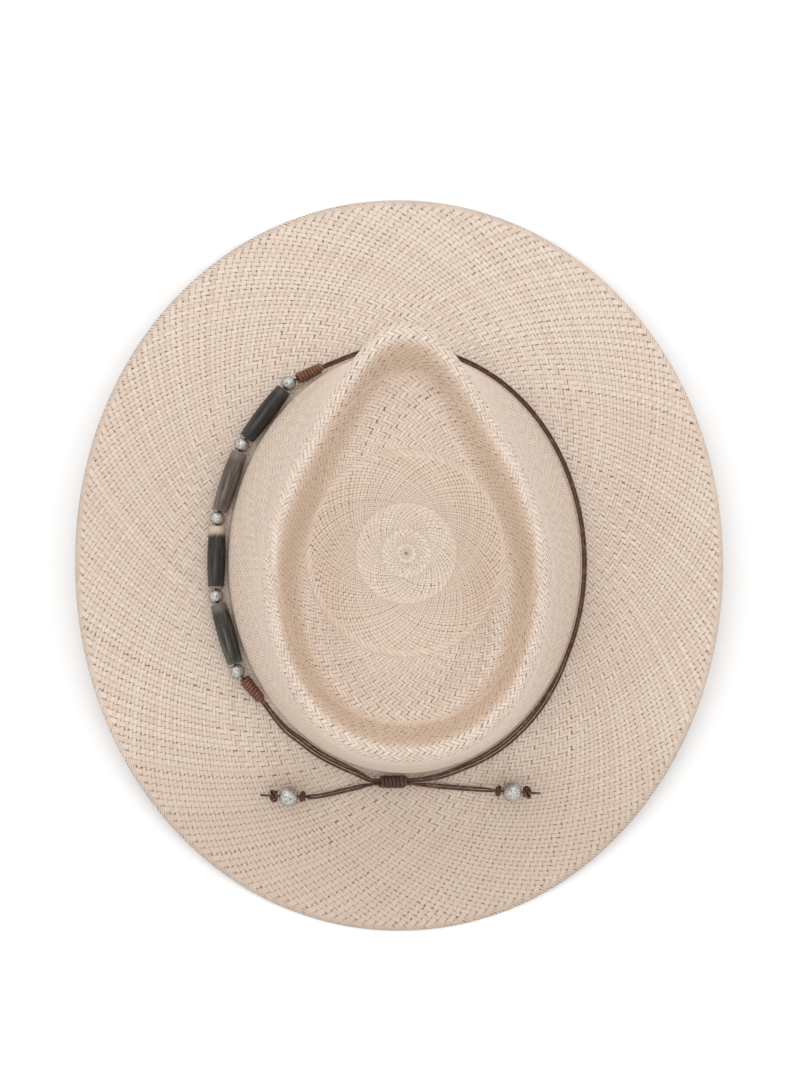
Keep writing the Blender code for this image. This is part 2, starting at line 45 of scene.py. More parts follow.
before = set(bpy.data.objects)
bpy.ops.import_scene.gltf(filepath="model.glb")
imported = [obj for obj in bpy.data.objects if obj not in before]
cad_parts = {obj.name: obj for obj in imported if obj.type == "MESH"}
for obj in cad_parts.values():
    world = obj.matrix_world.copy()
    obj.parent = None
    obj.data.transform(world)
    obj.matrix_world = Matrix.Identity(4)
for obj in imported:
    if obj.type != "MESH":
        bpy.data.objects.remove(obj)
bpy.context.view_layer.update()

# ---------------------------------------------------------------- the block's shape
BRIM_HALF_WIDTH = 0.1600
BRIM_HALF_LENGTH = 0.1840
BRIM_SQUARENESS = 2.04
BRIM_SIDE_RISE = 0.0215
BRIM_BREAK_HEIGHT = 0.0095
FLAT_FROM = 0.69
STRAW = 0.0012
REST_HEIGHT = STRAW / 2

CROWN_X = -0.0025
CROWN_Y = 0.0005
BASE_HALF_WIDTH = 0.0874
BASE_HALF_LENGTH = 0.1046
CREST_HEIGHT = 0.1035
TIP_RISE = 0.0135
CREST_HALF_WIDTH = 0.0624
CREST_BACK = 0.0920
CREST_TIP = -0.1000
CREST_WIDEST = 0.0080
CHANNEL_WIDTH = 0.0215
CHANNEL_FRONT_EXTRA = 0.0070
CHANNEL_DEPTH = 0.0235
CROWN_CENTRE_HEIGHT = 0.0905

PROFILE_SPANS = 19
CREASE_AT = 13.0
SECTORS = 720
PROFILE_SAMPLES = 1140

# Radius of the middle of the crown where the rings of the weave are true circles.
ROUND_TOP = 0.046


def superellipse_radius(angles, half_x, half_y, power):
    """Distance from the centre to a superellipse in each direction."""
    reach = np.abs(np.cos(angles) / half_x) ** power + np.abs(np.sin(angles) / half_y) ** power
    return reach ** (-1.0 / power)


def crest_half_width(y):
    """Half the width of the teardrop crest at each y: a full round back and a long taper to the tip."""
    back = np.clip((y - CREST_WIDEST) / (CREST_BACK - CREST_WIDEST), 0, 1)
    front = np.clip((CREST_WIDEST - y) / (CREST_WIDEST - CREST_TIP), 0, 1)
    round_back = (1 - back**2.2) ** (1 / 2.2)
    blunt = 0.6 * front**3
    taper = (1 - blunt) * (1 - front**1.75) ** 0.95 + blunt * np.sqrt(1 - front**2)
    return CREST_HALF_WIDTH * np.where(y > CREST_WIDEST, round_back, taper)


def crest_radius(angles):
    """Distance from the crown's centre to the crest in each direction, by bisection."""
    low = np.zeros_like(angles)
    high = np.full_like(angles, 0.15)
    for _ in range(40):
        middle = (low + high) / 2
        y = middle * np.sin(angles)
        ends = (y > CREST_BACK) | (y < CREST_TIP)
        outside = ends | (middle * np.abs(np.cos(angles)) > crest_half_width(y))
        high = np.where(outside, middle, high)
        low = np.where(outside, low, middle)
    return low


CREST_ANGLES = np.linspace(-math.pi, math.pi, 1441)
CREST_RADII = crest_radius(CREST_ANGLES)


def profile_points(angles):
    """Control points of each meridian, from the crown's centre to the brim's edge."""
    angles = np.atleast_1d(np.asarray(angles, float))
    front = (1 - np.sin(angles)) / 2
    curl = np.clip((np.cos(angles) ** 2 - 0.06) / 0.94, 0, 1)
    base = superellipse_radius(angles, BASE_HALF_WIDTH, BASE_HALF_LENGTH, 2.0)
    edge = superellipse_radius(angles, BRIM_HALF_WIDTH, BRIM_HALF_LENGTH, BRIM_SQUARENESS)
    crest = np.interp(angles, CREST_ANGLES, CREST_RADII, period=2 * math.pi)
    top = CREST_HEIGHT + TIP_RISE * front**2
    channel = CHANNEL_WIDTH + CHANNEL_FRONT_EXTRA * front**4
    floor = top - CHANNEL_DEPTH
    trough = crest - channel
    shoulder = crest + 0.0040
    wall_top = top - 0.0150
    lift = REST_HEIGHT + BRIM_BREAK_HEIGHT
    edge_height = REST_HEIGHT + BRIM_SIDE_RISE * curl**1.2
    brim = edge - base

    def wall(share):
        """Radius of the wall a share of the way up from the base to the shoulder."""
        return base + (shoulder + 0.0010 - base) * share**1.15

    def brim_height(share):
        """The brim falls to the table at front and back and sweeps up at the sides."""
        dropped = min(share / FLAT_FROM, 1)
        fall = dropped * dropped * (3 - 2 * dropped)
        sweep = share**1.7
        return lift + (edge_height - lift) * (fall + (sweep - fall) * curl)

    centre = CROWN_CENTRE_HEIGHT
    rows = [
        (0.0, centre, 0.0),
        (trough * 0.30, centre, 0.0),
        (trough * 0.68, centre * 0.8 + floor * 0.2, 0.0),
        (trough * 0.98, floor, 0.0),
        (trough + channel * 0.50, floor + CHANNEL_DEPTH * 0.04, 0.0),
        (trough + channel * 0.74, top - CHANNEL_DEPTH * 0.04, 0.0),
        (crest - 0.0008, top + 0.0026, 0.0),
        (shoulder + 0.0006, top - 0.0022, 0.0),
        (wall(1.0), wall_top, 0.0),
        (wall(0.66), lift + (wall_top - lift) * 0.66, 0.0),
        (wall(0.33), lift + (wall_top - lift) * 0.33, 0.0),
        (wall(0.06), lift + 0.0120, 0.0),
        (base, lift + 0.0045, 0.0),
        (base + 0.0006, lift + 0.0002, 0.0),
        (base + 0.0055, lift - 0.0002, 0.0),
        (base + brim * 0.22, brim_height(0.22), 0.2),
        (base + brim * 0.45, brim_height(0.45), 0.45),
        (base + brim * 0.70, brim_height(0.70), 0.70),
        (base + brim * 0.90, brim_height(0.90), 0.90),
        (edge, edge_height, 1.0),
    ]
    points = np.empty((len(angles), len(rows), 3))
    for index, (radius, height, share) in enumerate(rows):
        points[:, index, 0] = CROWN_X * (1 - share) + radius * np.cos(angles)
        points[:, index, 1] = CROWN_Y * (1 - share) + radius * np.sin(angles)
        points[:, index, 2] = height
    return points


def spline_at(along, points):
    """Points of a cubic B-spline down each row of control points."""
    along = np.broadcast_to(np.asarray(along, float), (len(points),))
    padded = np.concatenate(
        [2 * points[:, :1] - points[:, 1:2], points, 2 * points[:, -1:] - points[:, -2:-1]], axis=1
    )
    cell = np.clip(np.floor(along).astype(int), 0, PROFILE_SPANS - 1)
    t = (along - cell)[:, None]
    row = np.arange(len(points))
    p = [padded[row, cell + k] for k in range(4)]
    return (
        (1 - t) ** 3 * p[0]
        + (3 * t**3 - 6 * t**2 + 4) * p[1]
        + (-3 * t**3 + 3 * t**2 + 3 * t + 1) * p[2]
        + t**3 * p[3]
    ) / 6


class Hat:
    """The hat's middle surface as a grid: rings at equal steps of straw from the button, by sectors."""

    STEP = 0.00025

    def __init__(self):
        angles = np.arange(SECTORS) * 2 * math.pi / SECTORS
        controls = profile_points(angles)
        places = np.linspace(0, PROFILE_SPANS - 1e-6, PROFILE_SAMPLES + 1)
        lines = np.stack([spline_at(along, controls) for along in places], axis=1)
        steps = np.linalg.norm(np.diff(lines, axis=1), axis=2)
        lengths = np.concatenate([np.zeros((SECTORS, 1)), np.cumsum(steps, axis=1)], axis=1)
        crease = int(round(CREASE_AT / PROFILE_SPANS * PROFILE_SAMPLES))
        to_crease = lengths[:, crease]
        to_edge = lengths[:, -1]
        self.crease = float(to_crease.mean())
        self.edge = float(self.crease + (to_edge - to_crease).mean())
        self.rings = np.linspace(0, self.edge, int(self.edge / self.STEP) + 1)
        self.points = np.empty((SECTORS, len(self.rings), 3))
        for sector in range(SECTORS):
            wanted = np.interp(
                self.rings,
                [0, ROUND_TOP, self.crease, self.edge],
                [0, ROUND_TOP, to_crease[sector], to_edge[sector]],
            )
            for axis in range(3):
                self.points[sector, :, axis] = np.interp(wanted, lengths[sector], lines[sector, :, axis])
        outward = np.gradient(self.points, axis=1)
        around = np.roll(self.points, -1, axis=0) - np.roll(self.points, 1, axis=0)
        normals = np.cross(outward, around)
        # Round the very middle the grid is too small to tell its normals.
        normals[:, :6] = (0, 0, 1)
        self.normals = normals / np.linalg.norm(normals, axis=2, keepdims=True)
        turn = np.linalg.norm(around, axis=2).mean(axis=0) * SECTORS / (4 * math.pi)
        self.radius = np.maximum(turn, 0.0008)

    def at(self, ring, angle):
        """(points, normals) at distances of straw from the button and angles, between the grid's corners."""
        row = np.clip(ring / self.rings[1], 0, len(self.rings) - 1.001)
        column = (np.asarray(angle) / (2 * math.pi) * SECTORS) % SECTORS
        i = np.floor(row).astype(int)
        j = np.floor(column).astype(int) % SECTORS
        k = (j + 1) % SECTORS
        u = (row - i)[..., None]
        v = (column - np.floor(column))[..., None]
        found = []
        for grid in (self.points, self.normals):
            near = grid[j, i] * (1 - u) + grid[j, i + 1] * u
            far = grid[k, i] * (1 - u) + grid[k, i + 1] * u
            found.append(near * (1 - v) + far * v)
        normal = found[1] / np.linalg.norm(found[1], axis=-1, keepdims=True)
        return found[0], normal


HAT = Hat()

# ---------------------------------------------------------------- the weave
# How far each straw family leans from the line straight out from the button, in degrees.
LEAN_OUT = 58.0
LEAN_BACK = 47.0
# The outward family leans more on the brim, all of it this far out from the crease.
BRIM_LEAN = 4.0
BRIM_LEAN_REACH = 0.07
# The share of its pitch that a straw fills.
TWILL_FILL = 0.99
PLAIN_FILL = 0.93
# A straw bends this far to each side of a crossing's middle, and has this much of its rise there.
BEND_AT = 0.30
BEND_RISE = 0.85
# How far a straw's place and its breadth stray, as shares of its pitch and of its breadth.
PLACE_STRAY = 0.045
BREADTH_STRAY = 0.035
# The ends of a ring lie over the start of the next one out: how high, and over what length.
END_RISE = 1.9
END_LENGTH = 0.0016
# How much of the hollow's painted shade the flat middle of the crown has.
DISC_SHADE = 0.53


def wave(first, last, plain):
    """On which side one straw family lies at each crossing: 1 for over and -1 for under.

    In the twill two crossings over follow two under, in the plain weave they alternate.
    """
    if plain:
        return [1 if level % 2 == 0 else -1 for level in range(first, last)]
    return [1 if level % 4 < 2 else -1 for level in range(first, last)]


def stations(signs, face):
    """Where a straw bends. Face is 1 for the family that is on top where signs are 1, else -1."""
    found = []
    start = 0
    while start < len(signs):
        end = start
        while end + 1 < len(signs) and signs[end + 1] == signs[start]:
            end += 1
        rise = signs[start] * face
        found.append((start - BEND_AT, BEND_RISE * rise))
        if rise > 0:
            found.append(((start + end) / 2, 1.0))
        found.append((end + BEND_AT, BEND_RISE * rise))
        start = end + 1
    return np.array(found)


class Lean:
    """How far the straws of one family have turned round the hat at each ring."""

    def __init__(self, degrees_at):
        rings = HAT.rings
        slope = np.tan(np.radians(degrees_at)) / HAT.radius
        self.turn = np.concatenate([[0], np.cumsum((slope[1:] + slope[:-1]) / 2 * np.diff(rings))])

    def at(self, rings):
        return np.interp(rings, HAT.rings, self.turn)


LEAN_OUTWARD = Lean(LEAN_OUT + BRIM_LEAN * np.clip((HAT.rings - HAT.crease) / BRIM_LEAN_REACH, 0, 1))
LEAN_INWARD = Lean(np.full_like(HAT.rings, LEAN_BACK))


def straw_guides(start, end, count, plain_from, seed):
    """Guides for both families between two rings: {"out": guides, "in": guides}.

    Each guide has its points, the way out of the hat, the rise of the weave, the straw's breadth
    and tone, and how much painted shade it takes in the pinched crown's hollow.
    """
    random = np.random.default_rng(seed)
    pitch = 2 * math.pi / count
    turned = LEAN_OUTWARD.turn + LEAN_INWARD.turn
    first = np.interp(start, HAT.rings, turned)
    whole = (np.interp(end, HAT.rings, turned) - first) / pitch
    levels = int(whole)
    plain_level = int((np.interp(plain_from, HAT.rings, turned) - first) / pitch) // 4 * 4
    plain_level = min(max(plain_level, 0), levels)
    signs = wave(0, plain_level, False) + wave(plain_level, levels, True)
    guides = {}
    for family, lean, face, way in (("out", LEAN_OUTWARD, 1, 1), ("in", LEAN_INWARD, -1, -1)):
        marks = stations(signs, face)
        marks = np.concatenate([marks, [[max(whole, marks[-1, 0] + 0.1), marks[-1, 1] * 0.5]]])
        rings = np.interp(first + marks[:, 0] * pitch, turned, HAT.rings)
        over = END_RISE * np.clip(1 - (end - rings) / END_LENGTH, 0, 1) * (end < HAT.edge - 0.004)
        own = np.arange(count)
        wander = random.normal(0, PLACE_STRAY, count) * pitch
        angle = own[:, None] * pitch + way * (lean.at(rings) - lean.at(start))[None, :] + wander[:, None]
        ring = np.broadcast_to(rings, angle.shape)
        points, normals = HAT.at(ring, angle)
        beside, _ = HAT.at(ring, angle + pitch)
        along = np.gradient(points, axis=1)
        along /= np.linalg.norm(along, axis=2, keepdims=True)
        breadth = np.linalg.norm(np.cross(beside - points, along), axis=2)
        share = np.where(marks[:, 0] < plain_level, TWILL_FILL, PLAIN_FILL)[None, :]
        share = share * (1 + random.normal(0, BREADTH_STRAY, count))[:, None]
        # Painted shade: straw on the crown's inner slopes, which face in towards its middle, and on its flat
        # middle is marked here to be tinted darker and warmer in the finish.
        away = points[:, :, :2] - np.array([CROWN_X, CROWN_Y])
        away = away / np.linalg.norm(away, axis=2, keepdims=True)
        sides = np.clip(-(normals[:, :, :2] * away).sum(axis=2), 0, 1) * (ring < HAT.crease - 0.02)
        disc_shade = DISC_SHADE * np.clip((0.052 - ring) / 0.004, 0, 1) * np.clip((ring - 0.010) / 0.012, 0, 1)
        guides[family] = {
            "points": points,
            "hollow": np.maximum(sides, disc_shade),
            "outward": normals,
            "rise": np.broadcast_to(marks[:, 1] + over, angle.shape),
            "breadth": breadth * share,
            "tone": np.broadcast_to(random.random(count)[:, None], angle.shape),
        }
    return guides


GUIDE_VALUES = {
    "outward": "FLOAT_VECTOR",
    "rise": "FLOAT",
    "breadth": "FLOAT",
    "tone": "FLOAT",
    "hollow": "FLOAT",
}


def guide_object(name, parts):
    """A mesh of polylines that carry the attributes of the given guides."""
    counts = [part["points"].shape[0] * part["points"].shape[1] for part in parts]
    mesh = bpy.data.meshes.new(name)
    edges = []
    base = 0
    for part, count in zip(parts, counts):
        rows, columns = part["points"].shape[:2]
        index = np.arange(rows * columns).reshape(rows, columns) + base
        edges.append(np.stack([index[:, :-1].ravel(), index[:, 1:].ravel()], axis=1))
        base += count
    edges = np.concatenate(edges)
    mesh.vertices.add(base)
    mesh.edges.add(len(edges))
    every = np.concatenate([part["points"].reshape(-1, 3) for part in parts])
    mesh.vertices.foreach_set("co", every.astype(np.float32).ravel())
    mesh.edges.foreach_set("vertices", edges.astype(np.int32).ravel())
    for key, kind in GUIDE_VALUES.items():
        layer = mesh.attributes.new(key, kind, "POINT")
        values = [np.asarray(part[key]).reshape(count, -1) for part, count in zip(parts, counts)]
        slot = "vector" if kind == "FLOAT_VECTOR" else "value"
        layer.data.foreach_set(slot, np.concatenate(values).astype(np.float32).ravel())
    mesh.update()
    obj = bpy.data.objects.new(name, mesh)
    bpy.context.scene.collection.objects.link(obj)
    return obj


# ---------------------------------------------------------------- geometry trees
class Tree:
    """A Geometry Nodes tree under construction."""

    def __init__(self, name):
        self.tree = bpy.data.node_groups.new(name, "GeometryNodeTree")
        self.tree.interface.new_socket("Geometry", in_out="INPUT", socket_type="NodeSocketGeometry")
        self.tree.interface.new_socket("Geometry", in_out="OUTPUT", socket_type="NodeSocketGeometry")
        self.source = self.tree.nodes.new("NodeGroupInput")
        self.sink = self.tree.nodes.new("NodeGroupOutput")

    def size(self, name, default, kind="NodeSocketFloat"):
        """A named input of the tree."""
        socket = self.tree.interface.new_socket(name, in_out="INPUT", socket_type=kind)
        if default is not None:
            socket.default_value = default
        return self.source.outputs[name]

    def node(self, kind, settings=None, **values):
        """A node, its settings first and then the values or links of its sockets, by name or by number."""
        made = self.tree.nodes.new(kind)
        for key, value in (settings or {}).items():
            setattr(made, key, value)
        for key, value in values.items():
            socket = made.inputs[int(key[1:])] if key[0] == "_" else made.inputs[key.replace("_", " ")]
            if isinstance(value, bpy.types.NodeSocket):
                self.tree.links.new(value, socket)
            else:
                socket.default_value = value
        return made

    def attribute(self, name, kind="FLOAT"):
        return self.node("GeometryNodeInputNamedAttribute", {"data_type": kind}, Name=name).outputs[0]

    def end(self, geometry, material):
        """Closes the tree with Realize Instances and Set Material."""
        real = self.node("GeometryNodeRealizeInstances", _0=geometry)
        done = self.node("GeometryNodeSetMaterial", _0=real.outputs[0], Material=material)
        self.tree.links.new(done.outputs[0], self.sink.inputs[0])
        return self.tree


def swept_tree(name, sides):
    """Sweeps a straw or a cord along each guide, lifted over and let down under the ones that it crosses."""
    tree = Tree(name)
    lift = tree.size("Lift", 0.0)
    flatness = tree.size("Flatness", 1.0)
    skin = tree.size("Material", None, "NodeSocketMaterial")
    outward = tree.attribute("outward", "FLOAT_VECTOR")
    height = tree.node("ShaderNodeMath", {"operation": "MULTIPLY"}, _0=tree.attribute("rise"), _1=lift)
    shift = tree.node("ShaderNodeVectorMath", {"operation": "SCALE"}, _0=outward, Scale=height.outputs[0])
    lifted = tree.node("GeometryNodeSetPosition", Geometry=tree.source.outputs[0], Offset=shift.outputs[0])
    curve = tree.node("GeometryNodeMeshToCurve", Mesh=lifted.outputs[0])
    upright = tree.node(
        "GeometryNodeSetCurveNormal", {"mode": "FREE"}, Curve=curve.outputs[0], Normal=outward
    )
    length = tree.node("GeometryNodeSplineParameter").outputs["Length"]
    measured = tree.node(
        "GeometryNodeStoreNamedAttribute",
        {"data_type": "FLOAT", "domain": "POINT"},
        Geometry=upright.outputs[0],
        Name="run",
        Value=length,
    )
    ring = tree.node("GeometryNodeCurvePrimitiveCircle", {"mode": "RADIUS"}, Resolution=sides, Radius=0.5)
    turned = tree.node("GeometryNodeTransform", _0=ring.outputs[0], Rotation=(0, 0, math.pi / sides))
    section = tree.node(
        "GeometryNodeTransform",
        _0=turned.outputs[0],
        Scale=tree.node("ShaderNodeCombineXYZ", X=flatness, Y=1.0, Z=1.0).outputs[0],
    )
    place = tree.node("ShaderNodeSeparateXYZ", Vector=tree.node("GeometryNodeInputPosition").outputs[0])
    section = tree.node(
        "GeometryNodeStoreNamedAttribute",
        {"data_type": "FLOAT", "domain": "POINT"},
        Geometry=section.outputs[0],
        Name="across",
        Value=place.outputs[1],
    )
    swept = tree.node(
        "GeometryNodeCurveToMesh",
        Curve=measured.outputs[0],
        Profile_Curve=section.outputs[0],
        Scale=tree.attribute("breadth"),
        Fill_Caps=True,
    )
    smooth = tree.node("GeometryNodeSetShadeSmooth", _0=swept.outputs[0], Shade_Smooth=sides > 6)
    return tree.end(smooth.outputs[0], skin)


def grown(name, source, tree, **sizes):
    """Runs a tree on an object and keeps the result as a plain mesh object; the source is removed."""
    modifier = source.modifiers.new("shape", "NODES")
    modifier.node_group = tree
    for item in tree.interface.items_tree:
        if item.item_type == "SOCKET" and item.in_out == "INPUT":
            key = item.name.lower().replace(" ", "_")
            if key in sizes:
                modifier[item.identifier] = sizes[key]
    source.update_tag()
    bpy.context.view_layer.update()
    graph = bpy.context.evaluated_depsgraph_get()
    mesh = bpy.data.meshes.new_from_object(source.evaluated_get(graph), depsgraph=graph)
    if not mesh.polygons:
        raise RuntimeError(f"{name} came out empty")
    mesh.name = name
    old = source.data
    bpy.data.objects.remove(source)
    if isinstance(old, bpy.types.Mesh):
        bpy.data.meshes.remove(old)
    made = bpy.data.objects.new(name, mesh)
    bpy.context.scene.collection.objects.link(made)
    return made


def swept(name, guides, tree, finish, flatness=1.0, lift=0.0):
    """A piece swept along the guides by a tree, with its finish."""
    source = guide_object("guides", guides)
    return grown(name, source, tree, lift=lift, flatness=flatness, material=finish)


# ---------------------------------------------------------------- places on the surface
BASE_AT = 12.4
CREST_AT = 6.0
GAP = 0.0003
STRAND = 0.0011
STRAND_PITCH = STRAND + GAP
BAND_CLEARANCE = 0.0005
PIPE_LENGTH = 0.0304
PIPE_RADIUS = 0.0043
PIPE_END_RADIUS = 0.0036
PIPE_BORE = 0.0018
PIPE_SWELL = 0.0003
SPACER_RADIUS = 0.00375
SPACER_BORE = 0.0018
SPACER_COUNT = 5
BEAD_GAP = 0.0004
CHAIN_START = -58.0
CHAIN_OFFSET = 0.0075
CHAIN_HEIGHT = 0.0060
WRAP_LENGTH = 0.0150
WRAP_TURNS = 8
WRAP_BEAD_RADIUS = 0.0032
WRAP_STRAND_RADIUS = 0.0026
WRAP_CORD = 0.00135
KNOT_X = 0.0037
KNOT_LENGTH = 0.0150
KNOT_TRAVEL = 0.0030
KNOT_TURNS = 7
TAIL_BEAD_RADIUS = 0.0050
TAIL_BORE = 0.0017
SWEATBAND_HEIGHT = 0.0330
SWEATBAND_THICKNESS = 0.0010
BACK_ANGLE = 90.0


def meridian(along, angles):
    """Points of the weave's middle surface. Along runs 0 at the centre to PROFILE_SPANS at the edge."""
    return spline_at(along, profile_points(angles))


def outward(along, angles):
    """Unit normals of the hat's surface, away from the head."""
    along = np.clip(np.broadcast_to(np.asarray(along, float), np.shape(angles)), 0.02, PROFILE_SPANS - 0.01)
    step = 0.01
    controls = profile_points(angles)
    down = spline_at(along + step, controls) - spline_at(along - step, controls)
    round_ = meridian(along, angles + step) - meridian(along, angles - step)
    normal = np.cross(down, round_)
    return normal / np.linalg.norm(normal, axis=1, keepdims=True)


def wall_at(angles, height):
    """Where the crown's wall is at each angle and height: (points, horizontal outward directions)."""
    angles = np.atleast_1d(np.asarray(angles, float))
    controls = profile_points(angles)
    low = np.full_like(angles, CREST_AT + 1)
    high = np.full_like(angles, BASE_AT + 1.2)
    for _ in range(30):
        middle = (low + high) / 2
        above = spline_at(middle, controls)[:, 2] > height
        low = np.where(above, middle, low)
        high = np.where(above, high, middle)
    normal = outward(low, angles)
    normal[:, 2] = 0
    return meridian(low, angles), normal / np.linalg.norm(normal, axis=1, keepdims=True)


def brim_top(x, y):
    """Height of the brim's upper face over a point near the crown."""
    controls = profile_points(math.atan2(y - CROWN_Y, x - CROWN_X))
    low, high = BASE_AT, float(PROFILE_SPANS)
    reach = math.hypot(x - CROWN_X, y - CROWN_Y)
    for _ in range(30):
        middle = (low + high) / 2
        here = spline_at(middle, controls)[0]
        if math.hypot(here[0] - CROWN_X, here[1] - CROWN_Y) < reach:
            low = middle
        else:
            high = middle
    return float(spline_at(low, controls)[0, 2]) + STRAW / 2


# ---------------------------------------------------------------- the band's lines
BUNDLE_HEIGHT = REST_HEIGHT + BRIM_BREAK_HEIGHT + 0.0046
BUNDLE_OFFSET = STRAW / 2 + BAND_CLEARANCE + STRAND / 2
TRIANGLE = [(0.0, 0.5), (0.0, -0.5), (0.866, 0.0)]
SPREAD = [(0.0, 0.0), (1.05, 0.0), (1.234, -0.7)]
TAIL_OFFSET = 2 * 0.866 * STRAND_PITCH + 0.0001
# Where the bundle stands off the crown to make room for a wrapping: (degrees, half width, fade, distance).
STAND_OFFS = [(88.0, 7.0, 9.0, 0.0015), (-72.0, 1.0, 12.0, 0.0019), (48.0, 1.0, 12.0, 0.0019)]
# Routes of the tails: (sideways from the knot's middle, behind the bundle, height over the brim).
LEFT_TAIL = [
    (0.0010, TAIL_OFFSET, None),
    (0.0060, TAIL_OFFSET, None),
    (0.0098, TAIL_OFFSET, None),
    (0.0140, 0.0032, 0.0034),
    (0.0200, 0.0047, 0.0022),
    (0.0280, 0.0066, 0.0018),
    (0.0350, 0.0081, 0.0027),
    (0.0400, 0.0086, 0.0044),
    (0.0425, 0.0085, 0.0056),
]
RIGHT_TAIL = [
    (-0.0010, TAIL_OFFSET, None),
    (-0.0060, TAIL_OFFSET, None),
    (-0.0100, TAIL_OFFSET, None),
    (-0.0150, 0.0029, 0.0034),
    (-0.0230, 0.0038, 0.0022),
    (-0.0320, 0.0046, 0.0018),
    (-0.0410, 0.0053, 0.0027),
    (-0.0470, 0.0057, 0.0044),
    (-0.0500, 0.0059, 0.0056),
]
TAIL_INNER_KNOT = (0.0032, 0.0024)
TAIL_END_KNOT = (0.0042, 0.0029)
TAIL_STUB = 0.0045


ROUTE_STEPS = 5


def smooth_route(points):
    """A curve through the points, as a Catmull-Rom spline of ROUTE_STEPS steps between each two."""
    points = [Vector(p) for p in points]
    points = [2 * points[0] - points[1], *points, 2 * points[-1] - points[-2]]
    route = []
    for a, b, c, d in zip(points, points[1:], points[2:], points[3:]):
        for k in range(ROUTE_STEPS):
            t = k / ROUTE_STEPS
            route.append(
                ((2 * b) + (c - a) * t + (2 * a - 5 * b + 4 * c - d) * t**2 + (3 * b - a - 3 * c + d) * t**3)
                / 2
            )
    route.append(points[-2])
    return route


def chain_points():
    """Centres of the round spacer beads: (degrees, centres)."""
    chord = PIPE_LENGTH + 2 * SPACER_RADIUS + 2 * BEAD_GAP
    height = REST_HEIGHT + BRIM_BREAK_HEIGHT + CHAIN_HEIGHT

    def at(degrees):
        point, normal = wall_at(math.radians(degrees), height)
        place = point[0] + normal[0] * CHAIN_OFFSET
        return Vector((place[0], place[1], height + 0.0005 * math.cos(math.radians(degrees)) ** 2))

    found = [CHAIN_START]
    while len(found) < SPACER_COUNT:
        low, high = found[-1], found[-1] + 40
        for _ in range(40):
            middle = (low + high) / 2
            if (at(middle) - at(found[-1])).length < chord:
                low = middle
            else:
                high = middle
        found.append(middle)
    return found, [at(degrees) for degrees in found]


def stand_off(degrees):
    """How much farther than usual the bundle stands from the crown."""
    total = 0
    for middle, half, fade, distance in STAND_OFFS:
        away = abs((degrees - middle + 180) % 360 - 180)
        share = min(max(1 - (away - half) / fade, 0), 1)
        total = max(total, distance * share * share * (3 - 2 * share))
    return total


def bundle_centre(degrees):
    """Middle of the inner pair of strands, and the way out from the crown there."""
    point, normal = wall_at(math.radians(degrees), BUNDLE_HEIGHT - STRAND)
    place = point[0] + normal[0] * (BUNDLE_OFFSET + stand_off(degrees))
    return Vector((place[0], place[1], BUNDLE_HEIGHT)), Vector(normal[0])


def bundle_place(centre, normal, slot, spread=0.0):
    """Where one strand of three lies in its bundle, stacked, or side by side at a spread of 1."""
    out, up = TRIANGLE[slot]
    out, up = out + SPREAD[slot][0] * spread, up + SPREAD[slot][1] * spread
    return centre + normal * (out * STRAND_PITCH) + Vector((0, 0, up * STRAND_PITCH))


def wrap_line(centres, degrees, at_start):
    """Axis of the wrapping beside the first or last spacer: (bead end, strand end)."""
    bead = centres[0] if at_start else centres[-1]
    away = (degrees[0] if at_start else degrees[-1]) + (-12.0 if at_start else 12.0)
    point, normal = wall_at(math.radians(away), BUNDLE_HEIGHT - 0.0010)
    target = Vector(point[0] + normal[0] * (STRAW / 2 + WRAP_STRAND_RADIUS + 0.0005))
    target.z = BUNDLE_HEIGHT
    direction = (target - bead).normalized()
    near = bead + direction * (SPACER_RADIUS + BEAD_GAP)
    return near, near + direction * WRAP_LENGTH


def knot_frame():
    """Middle of the sliding knot's bundle, behind the crown."""
    centre, _ = bundle_centre(BACK_ANGLE - math.degrees(KNOT_X / BASE_HALF_LENGTH))
    return Vector((KNOT_X, centre.y, centre.z))


def held_lines(lines):
    """Lines of the strands from each wrapping round the crown to the sliding knot: {node: points}."""
    knot = knot_frame()
    back = Vector((0, 1, 0))
    found = {}
    runs = {
        "front_strand": (lines["front_wrapping"], np.linspace(-79.0, -261.0, 30), -1, 0.72),
        "rear_strand": (lines["rear_wrapping"], np.linspace(54.0, 78.0, 5), 1, 0.0),
    }
    for name, ((near, far), angles, side, free) in runs.items():
        axis = (far - near).normalized()
        across = Vector((axis.y, -axis.x, 0)).normalized()
        if across.dot(far - Vector((CROWN_X, CROWN_Y, far.z))) < 0:
            across = -across
        for slot in range(3):
            shift = across * ((TRIANGLE[slot][0] - 0.433) * STRAND_PITCH)
            shift = shift + Vector((0, 0, TRIANGLE[slot][1] * STRAND_PITCH))
            line = [near.lerp(far, 0.66) + shift, far + shift]
            for step, degrees in enumerate(angles):
                centre, normal = bundle_centre(degrees)
                share = (step + 1) / (len(angles) + 1)
                spread = math.sin(math.pi * min(max((share - free) / (1 - free), 0), 1)) ** 0.7
                line.append(bundle_place(centre, normal, slot, spread))
            for reach in (KNOT_LENGTH / 2 + KNOT_TRAVEL, KNOT_LENGTH / 2 - 0.003, 0.0016):
                line.append(bundle_place(knot + Vector((side * reach, 0, 0)), back, slot))
            found[f"{name}_{slot + 1}"] = line
    return found


def bead_lines(centres, lines):
    """Lines of the two strands that carry the beads: {node: points}."""
    front_near, front_far = lines["front_wrapping"]
    rear_near, rear_far = lines["rear_wrapping"]
    line = [front_near.lerp(front_far, 0.55), front_near.lerp(front_far, 0.25)]
    for centre, following in zip(centres, [*centres[1:], None]):
        line.append(centre)
        if following:
            line += [centre.lerp(following, share) for share in (0.16, 0.5, 0.84)]
    line += [rear_near.lerp(rear_far, 0.25), rear_near.lerp(rear_far, 0.55)]
    return {
        f"bead_strand_{index + 1}": [point + Vector((0, 0, side * STRAND_PITCH)) for point in line]
        for index, side in enumerate((0.5, -0.5))
    }


